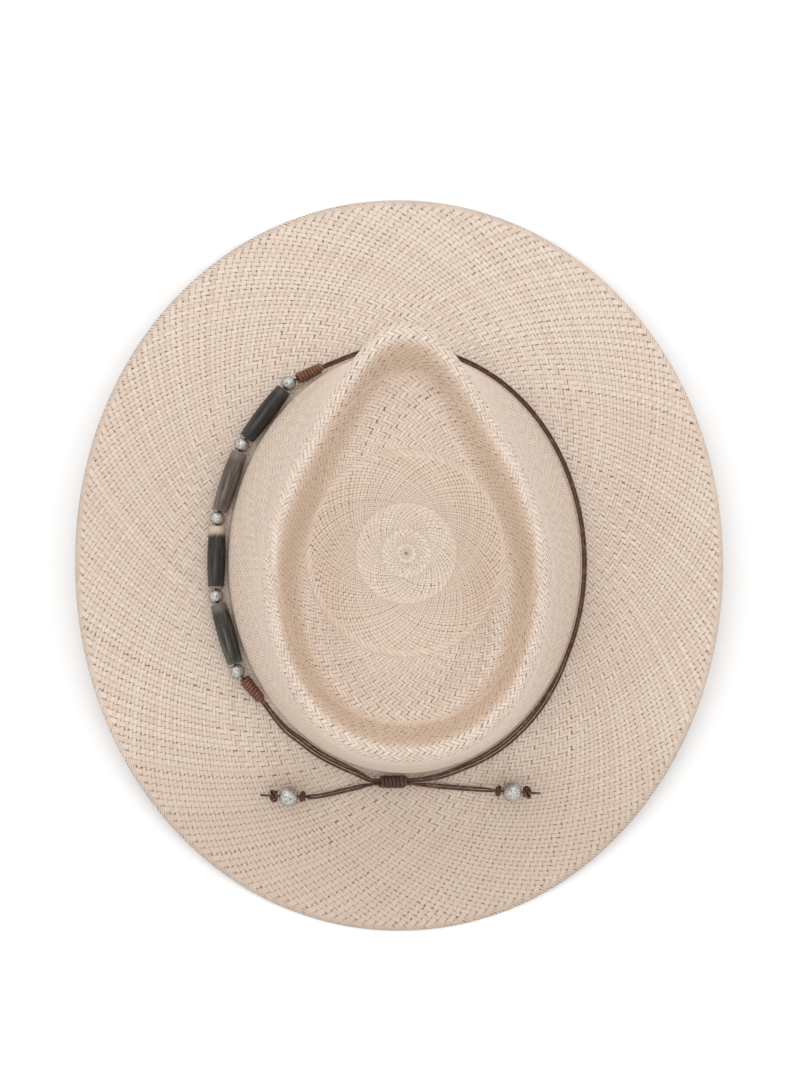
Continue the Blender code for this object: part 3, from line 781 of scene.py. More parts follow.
def tail_places(route):
    """A tail's middle line, its direction at the end, and the middles of its knots and bead."""
    knot = knot_frame()
    line = []
    for sideways, behind, over in route:
        x, y = knot.x + sideways, knot.y + behind
        line.append(Vector((x, y, knot.z if over is None else brim_top(x, y) + over)))
    direction = line[-1] - line[-2]
    direction.z = 0
    direction.normalize()
    inner = line[-1] + direction * 0.0022
    bead = inner + direction * (TAIL_INNER_KNOT[0] / 2 + GAP + TAIL_BEAD_RADIUS)
    outer = bead + direction * (TAIL_BEAD_RADIUS + GAP + TAIL_END_KNOT[0] / 2)
    line += [inner, bead, outer, outer + direction * (TAIL_END_KNOT[0] / 2 + TAIL_STUB)]
    return line, direction, inner, bead, outer


def twisted_path(line, direction, shift):
    """One strand of a tail: above or below the other in the knots, and beside it where they lie on the brim."""
    route = smooth_route(line)
    path = []
    for index, point in enumerate(route):
        share = index / ROUTE_STEPS
        # Along the tail's points: side by side from the fourth, and back again before the knots.
        turn = min(max((share - 2.0) / 2.0, 0), 1) * min(max((8.6 - share) / 2.2, 0), 1) * math.pi / 2
        side = Vector((-direction.y, direction.x, 0)) * (math.sin(turn) * shift)
        lower = abs(shift) * math.sin(turn) ** 2
        path.append(point + side + Vector((0, 0, math.cos(turn) * shift - lower)))
    return path


# ---------------------------------------------------------------- making pieces
# How much of a turn at each end of a winding dives in, how deep, and the breadth of one turn in its pitch.
DIVE_TURNS = 0.30
COIL_DIVE = 0.0011
KNOT_DIVE = 0.0009
TURN_BREADTH = 0.92


def plain_guides(points, facing, breadth, tone):
    """Guides that neither weave nor take the painted shade of the pinched crown."""
    shape = points.shape[:2]
    return {
        "points": points,
        "outward": facing,
        "rise": np.zeros(shape),
        "hollow": np.zeros(shape),
        "breadth": np.broadcast_to(breadth, shape),
        "tone": np.broadcast_to(tone, shape),
    }


def cord_guide(points, breadth, facing=None):
    """One guide for a cord through the points. Facing holds the way its flat side faces, where it has one."""
    points = np.array([list(point) for point in points], float)
    if facing is None:
        along = np.gradient(points, axis=0)
        facing = np.cross(along, np.array([0.0, 0.0, 1.0]) + 0 * along)
        flat = np.linalg.norm(facing, axis=1, keepdims=True) < 1e-9
        facing = np.where(flat, np.array([1.0, 0.0, 0.0]), facing)
    facing = np.asarray(facing, float)
    facing = facing / np.linalg.norm(facing, axis=1, keepdims=True)
    return plain_guides(points[None], facing[None], breadth, 0.5)


def put_on(piece, body, slot, *nodes):
    """Rides a piece on its body and hides the plain solids that it stands for. The slot is not used."""
    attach(piece, body)
    if nodes:
        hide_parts(*nodes)
    return piece


def frame_along(direction):
    """Two directions square to this one, and the direction, as a matrix's columns."""
    along = Vector(direction).normalized()
    side = along.cross(Vector((0, 0, 1))).normalized()
    return np.array([side, along.cross(side), along]).T


def winding(turns, steps):
    """The share of the way along a winding at each of its points, and how far its ends dive in there."""
    share = np.linspace(0, 1, turns * steps + 1)
    dive = np.clip(1 - np.minimum(share, 1 - share) * turns / DIVE_TURNS, 0, 1)
    return share, dive**2


def coil_guide(near, far, first, last, turns, cord, steps=28):
    """A cord wound round an axis, from one radius to the other. Its ends dive in under the first turns."""
    axes = frame_along(far - near)
    share, dive = winding(turns, steps)
    angle = share * turns * 2 * math.pi
    radius = first + (last - first) * share - cord / 2 - COIL_DIVE * dive
    radial = axes[:, 0] * np.cos(angle)[:, None] + axes[:, 1] * np.sin(angle)[:, None]
    length = (far - near).length
    breadth = length / turns
    along = breadth * TURN_BREADTH / 2 + share * (length - breadth * TURN_BREADTH)
    points = np.array(near) + axes[:, 2] * along[:, None] + radial * radius[:, None]
    return cord_guide(points, breadth * 0.88, radial)


def knot_guide(centre, direction, length, radius, cord, turn, steps=90):
    """An overhand knot pulled tight round the cords: a trefoil about the line through it."""
    axes = frame_along(direction)
    t = np.linspace(0.02, 2 * math.pi - 0.02, steps)
    inner = (radius - cord / 2) * 0.30
    middle = radius - cord / 2 - inner
    reach = middle + inner * np.cos(3 * t)
    angle = 2 * t + turn
    points = (
        axes[:, 0] * (reach * np.cos(angle))[:, None]
        + axes[:, 1] * (reach * np.sin(angle))[:, None]
        + axes[:, 2] * ((length / 2 - cord / 2) * np.sin(3 * t))[:, None]
    )
    facing = axes[:, 0] * np.cos(angle)[:, None] + axes[:, 1] * np.sin(angle)[:, None]
    return cord_guide(np.array(centre) + points, cord, facing)


def closed_quads(count, steps):
    """The faces of a grid of count rows by steps points that closes on itself both ways."""
    rows, columns = np.arange(count)[:, None], np.arange(steps)[None, :]
    following, beside = (rows + 1) % count, (columns + 1) % steps
    corners = [(rows, columns), (rows, beside), (following, beside), (following, columns)]
    return np.stack([(row * steps + column).ravel() for row, column in corners], axis=1).tolist()


def lathe(name, outline, steps, centre, direction, shape):
    """A bored piece turned from a closed outline of (radius, length), with each point's own place kept.

    Shape takes the points of the turned piece and gives them back with a depth for each.
    """
    outline = np.array(outline)
    angle = np.arange(steps) * 2 * math.pi / steps
    own = np.empty((len(outline), steps, 3))
    own[:, :, 0] = outline[:, :1] * np.cos(angle)
    own[:, :, 1] = outline[:, :1] * np.sin(angle)
    own[:, :, 2] = outline[:, 1:]
    own, depth = shape(own.reshape(-1, 3))
    points = own @ frame_along(direction).T + np.array(centre)
    mesh = bpy.data.meshes.new(name)
    mesh.from_pydata(points.tolist(), [], closed_quads(len(outline), steps))
    layer = mesh.attributes.new("own", "FLOAT_VECTOR", "POINT")
    layer.data.foreach_set("vector", own.astype(np.float32).ravel())
    layer = mesh.attributes.new("depth", "FLOAT", "POINT")
    layer.data.foreach_set("value", depth.astype(np.float32))
    return finished(name, mesh, 50)


def finished(name, mesh, sharp):
    """Turns a closed mesh's faces outward, smooths it and puts it in the scene."""
    bm = bmesh.new()
    bm.from_mesh(mesh)
    bmesh.ops.recalc_face_normals(bm, faces=bm.faces)
    if bm.calc_volume(signed=True) < 0:
        bmesh.ops.reverse_faces(bm, faces=bm.faces)
    bm.to_mesh(mesh)
    bm.free()
    mesh.shade_smooth()
    mesh.set_sharp_from_angle(angle=math.radians(sharp))
    obj = bpy.data.objects.new(name, mesh)
    bpy.context.scene.collection.objects.link(obj)
    return obj


def band(name, section, angles):
    """A strip round the hat from a closed section of (place along the meridian, distance from the surface)."""
    rows = [meridian(along, angles) + outward(along, angles) * distance for along, distance in section]
    points = np.array(rows)
    mesh = bpy.data.meshes.new(name)
    mesh.from_pydata(points.reshape(-1, 3).tolist(), [], closed_quads(*points.shape[:2]))
    return finished(name, mesh, 60)


def punched(radius, marks, seed):
    """A shape for a ball: small round punch marks all over, each a little different."""
    random = np.random.default_rng(seed)
    turns = np.arange(marks) * math.pi * (3 - math.sqrt(5)) + random.normal(0, 0.12, marks)
    heights = 1 - 2 * (np.arange(marks) + 0.5) / marks
    flat = np.sqrt(1 - heights**2)
    spots = np.stack([flat * np.cos(turns), flat * np.sin(turns), heights], axis=1)
    spots = spots + random.normal(0, 0.035, spots.shape)
    spots = spots / np.linalg.norm(spots, axis=1, keepdims=True) * radius
    widths = random.uniform(0.00030, 0.00058, marks)

    def shape(own):
        reach = np.linalg.norm(own, axis=1)
        distance = np.linalg.norm(own[:, None, :] - spots[None], axis=2)
        dent = np.clip(1 - (distance / widths) ** 2, 0, 1).max(axis=1)
        dent = np.where(reach > radius * 0.97, dent, 0)
        return own * (1 - 0.00016 * dent / reach)[:, None], dent

    return shape


def ball_outline(radius, bore, steps=44):
    """A ball with a bore whose mouths are eased."""
    mouth = math.asin((bore + 0.00015) / radius)
    arc = [mouth + (math.pi - 2 * mouth) * k / steps for k in range(steps + 1)]
    outside = [(radius * math.sin(a), -radius * math.cos(a)) for a in arc]
    lip = -outside[0][1]
    return [(bore, -lip + 0.0002), *outside, (bore, lip - 0.0002), (bore, 0.0)]


def pipe_outline(length, middle, end, bore, steps=36):
    """A bored pipe bead, fuller in the middle, with rounded ends."""
    ease = 0.00055
    outside = []
    for k in range(steps + 1):
        share = k / steps * 2 - 1
        z = share * (length / 2 - ease)
        outside.append((end + (middle - end) * (1 - share**2), z))
    corner = [(math.sin(a), math.cos(a)) for a in np.radians([25, 50, 72])]
    top = [(end - ease + ease * c, length / 2 - ease + ease * s) for s, c in corner]
    low = [(r, -z) for r, z in reversed(top)]
    mouth = [(bore + 0.0003, length / 2), (bore, length / 2 - 0.0003)]
    other_mouth = [(bore, -length / 2 + 0.0003), (bore + 0.0003, -length / 2)]
    return [*low, *outside, *top, *mouth, (bore, 0.0), *other_mouth]


def whittled(seed):
    """A shape for a pipe: slightly flattened and wavy, as worked horn is."""
    random = np.random.default_rng(seed)
    phases = random.uniform(0, 2 * math.pi, 4)

    def shape(own):
        angle = np.arctan2(own[:, 1], own[:, 0])
        reach = np.hypot(own[:, 0], own[:, 1])
        ripple = 0.010 * np.cos(2 * angle + phases[0]) + 0.006 * np.cos(3 * angle + phases[1])
        ripple = ripple + 0.006 * np.cos(own[:, 2] * 260 + phases[2]) * np.cos(angle + phases[3])
        moved = own.copy()
        moved[:, :2] *= np.where(reach > 0.0025, 1 + ripple - 0.012, 1)[:, None]
        return moved, ripple

    return shape


# ---------------------------------------------------------------- the straw's own pieces
FLATNESS = {"out": 0.170, "in": 0.120}
# A ring with more straws than this is cut into two pieces.
MOST_IN_ONE = 120
# How far the turned ends slant along the edge, and how much of their pitch they fill.
EDGE_SLANT = 0.0048
EDGE_FILL = 0.58
# Half the thickness of the sheet of painted shade in the middle of the plait.
SHADE_SHEET_HALF = 0.00003


def straw_rings(settings):
    """The rings of the plait from the button to the edge: (name, start, end, straws each way, plain from)."""
    twill_end = HAT.crease + settings.twill_width
    return [
        ("button", 0.0006, 0.0044, 12, 0.0),
        ("button", 0.0030, 0.0112, 26, 0.0),
        ("top", 0.0096, 0.0232, 48, 0.0),
        ("top", 0.0212, 0.0478, 92, 0.0),
        ("slope", 0.0454, 0.0796, 148, 1.0),
        ("crown", 0.0768, HAT.crease + 0.0010, settings.wall_straws, 1.0),
        ("brim", HAT.crease - 0.0016, HAT.edge - 0.0009, settings.brim_straws, twill_end),
    ]


def edge_guides(count):
    """Straw ends turned slantwise back round the brim's edge, lying side by side."""
    random = np.random.default_rng(71)
    turn = np.arange(count) * 2 * math.pi / count + random.normal(0, 0.0009, count)
    rim, _ = HAT.at(np.full(count, HAT.edge), turn)
    rim_length = np.linalg.norm(rim - np.roll(rim, 1, axis=0), axis=1).sum()
    # In, over and round: (distance past the edge, height over the middle, share of the slant, facing out).
    marks = [
        (-0.0023, 0.00012, 0.00, 0.0),
        (-0.0018, 0.00030, 0.18, 0.0),
        (-0.0009, 0.00034, 0.42, 0.0),
        (-0.0002, 0.00028, 0.60, 0.4),
        (0.00015, 0.00000, 0.70, 1.0),
        (-0.0002, -0.00026, 0.80, 0.4),
        (-0.0010, -0.00032, 1.04, 0.0),
        (-0.0020, -0.00012, 1.30, 0.0),
    ]
    lean = EDGE_SLANT * 2 * math.pi / rim_length
    points, facing = [], []
    for past, height, share, out in marks:
        angle = turn + lean * share + random.normal(0, 0.0006, count)
        place, normal = HAT.at(np.full(count, HAT.edge + min(past, 0)), angle)
        further, _ = HAT.at(np.full(count, HAT.edge - 0.004), angle)
        away = place - further
        away = away / np.linalg.norm(away, axis=1, keepdims=True)
        points.append(place + normal * height + away * max(past, 0))
        up = normal * (1 if height >= 0 else -1)
        side = up * (1 - out) + away * out
        facing.append(side / np.linalg.norm(side, axis=1, keepdims=True))
    breadth = rim_length / count * EDGE_FILL * (1 + random.normal(0, 0.05, count))
    points, facing = np.stack(points, axis=1), np.stack(facing, axis=1)
    return [plain_guides(points, facing, breadth[:, None], random.random(count)[:, None])]


def straw_core():
    """A thin closed sheet of painted shade in the middle of the plait, so that its chinks are dark and not
    see-through.
    """
    steps = 240
    rings = [
        np.arange(0.0010, HAT.crease - 0.006, 0.0018),
        np.arange(HAT.crease - 0.006, HAT.crease + 0.006, 0.0006),
        np.arange(HAT.crease + 0.006, HAT.edge - 0.0022, 0.0032),
        [HAT.edge - 0.0010],
    ]
    rings = np.concatenate(rings)
    turn = np.arange(steps) * 2 * math.pi / steps
    ring, angle = np.broadcast_arrays(rings[:, None], turn[None, :])
    middle, normal = HAT.at(ring, angle)
    poles = HAT.at(np.array([0.0]), np.array([0.0]))[0]
    points, faces = [], []
    for side in (1, -1):
        base = len(points)
        points += (middle + normal * side * SHADE_SHEET_HALF).reshape(-1, 3).tolist()
        points.append((poles[0] + np.array([0, 0, side * SHADE_SHEET_HALF])).tolist())
        pole = len(points) - 1
        for row in range(len(rings) - 1):
            for i in range(steps):
                j = (i + 1) % steps
                a, b = base + row * steps, base + (row + 1) * steps
                faces.append([a + i, b + i, b + j, a + j])
        faces += [[pole, base + i, base + (i + 1) % steps] for i in range(steps)]
    last = (len(rings) - 1) * steps
    under = len(points) // 2
    for i in range(steps):
        j = (i + 1) % steps
        faces.append([last + i, under + last + i, under + last + j, last + j])
    mesh = bpy.data.meshes.new("straw_core")
    mesh.from_pydata(points, [], faces)
    return finished("straw_core", mesh, 60)


# ---------------------------------------------------------------- the band's and lining's own pieces
# Each pipe from the front: its horn, its streaks, the colour of its paler growth and how much of it shows.
HORNS = [
    ((0.017, 0.0145, 0.012), (0.052, 0.044, 0.037), (0.14, 0.11, 0.085), 0.25),
    ((0.088, 0.063, 0.050), (0.190, 0.155, 0.130), (0.33, 0.27, 0.21), 0.35),
    ((0.019, 0.0165, 0.014), (0.064, 0.054, 0.045), (0.55, 0.44, 0.35), 1.0),
    ((0.028, 0.027, 0.022), (0.120, 0.108, 0.084), (0.25, 0.22, 0.17), 0.45),
]


@functools.lru_cache(maxsize=1)
def band_lines():
    """The spacers' centres, and the axes of the two wrappings."""
    degrees, centres = chain_points()
    lines = {
        "front_wrapping": wrap_line(centres, degrees, True),
        "rear_wrapping": wrap_line(centres, degrees, False),
    }
    return centres, lines


def sliding_knot_guide(turns, steps=30):
    """The cord of the sliding knot, wound round both ends of the band and both tails."""
    knot = np.array(knot_frame())
    near, far = -STRAND / 2 - GAP, TAIL_OFFSET + STRAND / 2 + GAP
    half_out, half_up = (far - near) / 2 + 0.0001, STRAND_PITCH / 2 + STRAND / 2 + GAP + 0.0001
    share, dive = winding(turns, steps)
    angle = share * turns * 2 * math.pi + 0.6
    c, s = np.cos(angle), np.sin(angle)
    round_off = (np.abs(c) ** 3 + np.abs(s) ** 3) ** (-1 / 3)
    wall = 0.00048 - KNOT_DIVE * dive
    breadth = KNOT_LENGTH / turns
    x = (share - 0.5) * (KNOT_LENGTH - breadth * TURN_BREADTH)
    y = (near + far) / 2 + c * (half_out * round_off + wall)
    z = s * (half_up * round_off + wall)
    facing = np.stack([0 * x, c / half_out, s / half_up], axis=1)
    return cord_guide(knot + np.stack([x, y, z], axis=1), breadth * 0.84, facing)


def sweatband_places():
    """The sweatband's outer and inner distances from the straw's middle, and its upper and lower places."""
    top = REST_HEIGHT + BRIM_BREAK_HEIGHT + SWEATBAND_HEIGHT
    places = np.linspace(9.0, 12.3, 200)
    heights = meridian(places, np.zeros(200))[:, 2]
    first = float(places[np.argmin(np.abs(heights - top))])
    near = -STRAW / 2 - GAP - 0.0005
    return near, near - SWEATBAND_THICKNESS, (first, 12.35)


def round_the_head(row):
    """The distance round the hat at one place along the meridians."""
    line = meridian(row, np.linspace(0, 2 * math.pi, 361))
    return float(np.linalg.norm(np.diff(line, axis=0), axis=1).sum())


# One stitch from end to end: (share of the pitch, height from the leather's inner face).
STITCH = [
    (-0.38, 0.00025),
    (-0.33, -0.00008),
    (-0.15, -0.00026),
    (0.15, -0.00026),
    (0.33, -0.00008),
    (0.38, 0.00025),
]
STITCH_THREAD = 0.00062


def stitch_guides(row, distance, count):
    """Stitches along the seam: each rises out of the leather, runs along it and goes back in."""
    random = np.random.default_rng(29)
    guides = []
    pitch = 2 * math.pi / count
    for index in range(count):
        shift = random.normal(0, 0.02)
        angles = np.array([(index + shift + mark) * pitch for mark, _ in STITCH])
        normal = outward(row, angles)
        heights = np.array([height for _, height in STITCH])
        line = meridian(row + random.normal(0, 0.004), angles) + normal * (distance + heights)[:, None]
        guides.append(cord_guide(line, STITCH_THREAD, normal))
    return guides


def bow_guides(top, low):
    """A small flat bow: two loops of ribbon lying against the leather, held by a band round the middle."""
    angle = np.array([math.radians(BACK_ANGLE)])
    row = top + (low - top) * 2 / 3
    spot = meridian(row, angle)[0] + outward(row, angle)[0] * -(STRAW / 2 + SWEATBAND_THICKNESS + 0.0030)
    guides = []
    for side in (-1, 1):
        t = np.linspace(0.0, 1.0, 40)
        x = side * (0.0008 + 0.0102 * np.sin(math.pi * t) ** 0.8)
        y = 0.0007 * np.sin(2 * math.pi * t) * np.sin(math.pi * t) ** 0.5 + 0.0004 * np.cos(math.pi * t)
        line = np.stack([spot[0] + x, spot[1] + y, spot[2] + 0 * x], axis=1)
        along = np.gradient(line, axis=0)
        facing = np.cross(along, np.array([0.0, 0.0, 1.0]))
        breadth = 0.0030 + 0.0036 * np.sin(math.pi * t) ** 0.6
        guides.append(cord_guide(line, breadth, facing))
    t = np.linspace(0, 2 * math.pi, 36)
    line = np.stack([spot[0] + 0 * t, spot[1] + 0.0014 * np.cos(t), spot[2] + 0.0021 * np.sin(t)], axis=1)
    guides.append(cord_guide(line, 0.0034, line - spot))
    return guides


# ---------------------------------------------------------------- finishes
class Number:
    """A shader socket that carries a number, and takes part in sums by adding Math nodes."""

    def __init__(self, finish, socket):
        self.finish = finish
        self.socket = socket

    def joined(self, operation, first, second=None):
        return self.finish.node("ShaderNodeMath", {"operation": operation}, _0=first, _1=second)

    def __add__(self, other):
        return self.joined("ADD", self, other)

    def __sub__(self, other):
        return self.joined("SUBTRACT", self, other)

    def __rsub__(self, other):
        return self.joined("SUBTRACT", other, self)

    def __mul__(self, other):
        return self.joined("MULTIPLY", self, other)

    __radd__ = __add__
    __rmul__ = __mul__

    def absolute(self):
        return self.joined("ABSOLUTE", self)

    def clamped(self):
        settings = {"operation": "MULTIPLY", "use_clamp": True}
        return self.finish.node("ShaderNodeMath", settings, _0=self, _1=1.0)

    def between(self, low, high, to_low=0.0, to_high=1.0):
        """Smoothly from to_low to to_high while this goes from low to high."""
        return self.finish.node(
            "ShaderNodeMapRange",
            {"interpolation_type": "SMOOTHSTEP"},
            _0=self,
            _1=low,
            _2=high,
            _3=to_low,
            _4=to_high,
        )


class Finish:
    """A material under construction."""

    def __init__(self, name, roughness=0.5, metallic=0.0, **constants):
        self.material = bpy.data.materials.new(name)
        self.material.use_nodes = True
        self.tree = self.material.node_tree
        self.shader = self.tree.nodes["Principled BSDF"]
        self.shader.inputs["Roughness"].default_value = roughness
        self.shader.inputs["Metallic"].default_value = metallic
        for key, value in constants.items():
            self.shader.inputs[key.replace("_", " ")].default_value = value

    def node(self, kind, settings=None, output=0, **values):
        """A node: its settings first, then its sockets by name or number. Returns one of its outputs."""
        made = self.tree.nodes.new(kind)
        for key, value in (settings or {}).items():
            if key == "stops":
                ramp = made.color_ramp
                while len(ramp.elements) < len(value):
                    ramp.elements.new(0.5)
                for element, (place, colour) in zip(ramp.elements, value):
                    element.position = place
                    element.color = (*colour, 1)
            else:
                setattr(made, key, value)
        for key, value in values.items():
            if value is None:
                continue
            socket = made.inputs[int(key[1:])] if key[0] == "_" else made.inputs[key.replace("_", " ")]
            if isinstance(value, Number):
                self.tree.links.new(value.socket, socket)
            elif socket.type == "RGBA" and len(value) == 3:
                socket.default_value = (*value, 1)
            else:
                socket.default_value = value
        return Number(self, made.outputs[output])

    def attribute(self, name):
        return self.node("ShaderNodeAttribute", {"attribute_name": name}, output="Fac")

    def attribute_place(self, name):
        return self.node("ShaderNodeAttribute", {"attribute_name": name}, output="Vector")

    def place(self):
        return self.node("ShaderNodeTexCoord", output="Object")

    def vector(self, x, y, z):
        return self.node("ShaderNodeCombineXYZ", X=x, Y=y, Z=z)

    def scaled(self, vector, scale):
        return self.node("ShaderNodeMapping", Vector=vector, Scale=scale)

    def noise(self, where, scale, detail=3.0, roughness=0.5):
        return self.node("ShaderNodeTexNoise", Vector=where, Scale=scale, Detail=detail, Roughness=roughness)

    def blend(self, first, second, factor):
        """Two colours mixed."""
        return self.node(
            "ShaderNodeMix",
            {"data_type": "RGBA"},
            output=2,
            _0=factor,
            _6=first,
            _7=second,
        )

    def put(self, socket, value):
        self.tree.links.new(value.socket, self.shader.inputs[socket])

    def bumped(self, height, distance, strength):
        self.put(
            "Normal", self.node("ShaderNodeBump", Strength=strength, Distance=distance, Height=height)
        )


def straw_finish(colours):
    """Split palm straw: each straw has its own tone and fine fibres along it, with painted shade at its sides, in
    the crown's hollow and at the back of the brim.
    """
    finish = Finish("palm_straw", roughness=0.62, Specular_IOR_Level=0.35)
    tone = finish.attribute("tone")
    run = finish.attribute("run")
    place = finish.place()
    patch = finish.noise(place, 9.0, 2.0)
    drift = finish.noise(finish.vector(run * 26.0, tone * 91.0, tone * 37.0), 1.0, 2.0)
    pick = (tone * 0.62 + drift * 0.50 - 0.06).clamped()
    colour = finish.node(
        "ShaderNodeValToRGB",
        {
            "stops": [
                (0.0, colours.straw_dark),
                (0.22, colours.straw_pink),
                (0.48, colours.straw),
                (0.74, colours.straw_pale),
                (1.0, colours.straw_ivory),
            ]
        },
        Fac=pick,
    )
    fibre = finish.noise(
        finish.vector(run * 240.0, tone * 530.0, finish.noise(place, 900.0, 1.0) * 3.0), 1.0, 3.0
    )
    colour = finish.blend(colour, colours.straw_dark, fibre.between(0.56, 0.80, 0.0, 0.40))
    colour = finish.blend(colour, colours.straw_dark, patch.between(0.50, 0.72, 0.0, 0.22))
    speck = finish.noise(place, 1500.0, 1.0).between(0.70, 0.80, 0.0, 0.35)
    colour = finish.blend(colour, colours.straw_speck, speck)
    # Painted shade: the straw in the crown's hollow is tinted darker and warmer.
    hollow = finish.attribute("hollow").between(0.25, 0.92, 0.0, 0.52)
    colour = finish.blend(colour, colours.straw_hollow, hollow)
    # Painted shade: the brim is darker towards its back, past y = 0.105.
    y = finish.node("ShaderNodeSeparateXYZ", output=1, Vector=place)
    back_shade = (y + patch * 0.05).between(0.105, 0.160, 0.0, 0.60)
    colour = finish.blend(colour, colours.straw_back_shade, back_shade)
    # Painted shade: each straw is darker at its two sides, where it meets its neighbours.
    side = finish.attribute("across").absolute()
    finish.put("Base Color", finish.blend(colour, colours.straw_edge, side.between(0.31, 0.47, 0.0, 0.72)))
    finish.put("Roughness", fibre.between(0.3, 0.8, 0.52, 0.72))
    finish.bumped(fibre, 0.00006, 0.6)
    return finish.material


def shade_sheet_finish(colour):
    """A dark sheet of painted shade inside the plait, seen only between straws."""
    finish = Finish("straw_core", roughness=0.9)
    spread = finish.noise(finish.place(), 400.0, 2.0)
    finish.put("Base Color", finish.blend(colour, tuple(0.55 * c for c in colour), spread))
    return finish.material


def leather_cord_finish(name, colour, worn, roughness):
    """Waxed round leather: fine grain along the cord, rubbed lighter in places, with small cracks."""
    finish = Finish(name, roughness=roughness, Specular_IOR_Level=0.35)
    place = finish.place()
    run = finish.attribute("run")
    grain = finish.noise(place, 1400.0, 4.0, 0.6)
    rubbed = finish.noise(place, 260.0, 3.0)
    cracks = finish.noise(finish.vector(run * 2600.0, grain * 0.6, rubbed * 3.0), 1.0, 2.0)
    dark = tuple(0.45 * c for c in colour)
    shade = finish.blend(colour, worn, rubbed.between(0.48, 0.72))
    shade = finish.blend(shade, dark, cracks.between(0.56, 0.70, 0.0, 0.55))
    finish.put("Base Color", finish.blend(shade, dark, grain.between(0.55, 0.75, 0.0, 0.4)))
    finish.put("Roughness", rubbed.between(0.3, 0.7, roughness + 0.12, roughness - 0.10))
    finish.bumped(grain * 0.6 + cracks * 0.4, 0.00008, 0.8)
    return finish.material


def horn_finish(name, colour, streak, tip, tip_share):
    """Polished horn: streaks along the pipe, cloudy bands and a paler growth at the end nearest the front."""
    finish = Finish(name, roughness=0.3, Specular_IOR_Level=0.3, Coat_Weight=0.1, Coat_Roughness=0.15)
    own = finish.attribute_place("own")
    streaks = finish.noise(finish.scaled(own, (1.0, 1.0, 0.045)), 1500.0, 4.0, 0.6)
    broad = finish.noise(finish.scaled(own, (1.0, 1.0, 0.12)), 420.0, 3.0)
    fine = finish.noise(finish.scaled(own, (1.0, 1.0, 0.02)), 5200.0, 2.0)
    z = finish.node("ShaderNodeSeparateXYZ", output=2, Vector=own)
    shade = finish.blend(colour, streak, broad.between(0.42, 0.66, 0.0, 0.85))
    shade = finish.blend(shade, tuple(0.35 * c for c in colour), streaks.between(0.50, 0.68, 0.0, 0.8))
    shade = finish.blend(shade, streak, fine.between(0.58, 0.74, 0.0, 0.45))
    grown_out = (streaks * 0.006 + z * -1.0).between(0.0125, 0.0165) * tip_share
    shade = finish.blend(shade, tip, grown_out)
    rim = z.absolute().between(0.0143, 0.0151, 0.0, 0.5)
    finish.put("Base Color", finish.blend(shade, tip, rim * tip_share))
    finish.put("Roughness", streaks.between(0.35, 0.7, 0.24, 0.42))
    finish.bumped(fine * 0.4 + streaks * 0.6, 0.00005, 0.6)
    return finish.material


def silver_finish(colour, tarnish):
    """White metal, bright on the ridges and dark in the punch marks."""
    finish = Finish("punched_silver", roughness=0.3, metallic=1.0)
    depth = finish.attribute("depth")
    place = finish.place()
    grime = finish.noise(place, 1800.0, 3.0, 0.6)
    cloud = finish.noise(place, 300.0, 2.0)
    dark = (depth * 0.75 + grime * 0.55 + cloud * 0.30).between(0.62, 1.05)
    finish.put("Base Color", finish.blend(colour, tarnish, dark))
    finish.put("Roughness", dark.between(0.0, 1.0, 0.36, 0.60))
    finish.put("Metallic", dark.between(0.0, 1.0, 1.0, 0.55))
    finish.bumped(grime, 0.00007, 0.7)
    return finish.material


def leather_finish(colour):
    """Thin smooth lining leather with a pebbled grain, pores and paler clouds."""
    finish = Finish("lining_leather", roughness=0.55, Specular_IOR_Level=0.4)
    place = finish.place()
    pebble = finish.node(
        "ShaderNodeTexVoronoi", {"feature": "DISTANCE_TO_EDGE"}, Vector=place, Scale=1100.0
    )
    fold = pebble.between(0.0, 0.14)
    cloud = finish.noise(place, 60.0, 4.0, 0.6)
    pores = finish.noise(place, 2600.0, 2.0).between(0.62, 0.75)
    shade = finish.blend(tuple(0.72 * c for c in colour), colour, fold)
    shade = finish.blend(shade, tuple(min(1.35 * c, 1) for c in colour), cloud.between(0.45, 0.75, 0.0, 0.6))
    finish.put("Base Color", finish.blend(shade, tuple(0.5 * c for c in colour), pores * 0.5))
    finish.put("Roughness", cloud.between(0.3, 0.7, 0.48, 0.66))
    finish.bumped(fold - pores * 0.4, 0.00012, 0.7)
    return finish.material


def spun_finish(name, colour, scale, roughness=0.7):
    """Spun or woven thread: a fine slant along the run and small changes of shade."""
    finish = Finish(name, roughness=roughness, Sheen_Weight=0.2)
    place = finish.place()
    run = finish.attribute("run")
    ply = finish.node(
        "ShaderNodeTexWave",
        {"wave_type": "BANDS"},
        Vector=finish.vector(run, 0.0, 0.0),
        Scale=scale,
        Distortion=0.6,
    )
    fuzz = finish.noise(place, 3000.0, 3.0)
    dark = tuple(0.6 * c for c in colour)
    shade = finish.blend(colour, dark, ply.between(0.45, 0.95, 0.0, 0.75))
    finish.put("Base Color", finish.blend(shade, dark, fuzz.between(0.55, 0.75, 0.0, 0.4)))
    finish.bumped(ply * -0.7 + fuzz * 0.3, 0.00010, 0.7)
    return finish.material


# ---------------------------------------------------------------- sizes and colours
def colour_of(name, description, default):
    return FloatVectorProperty(name=name, description=description, subtype="COLOR", min=0, max=1, default=default)


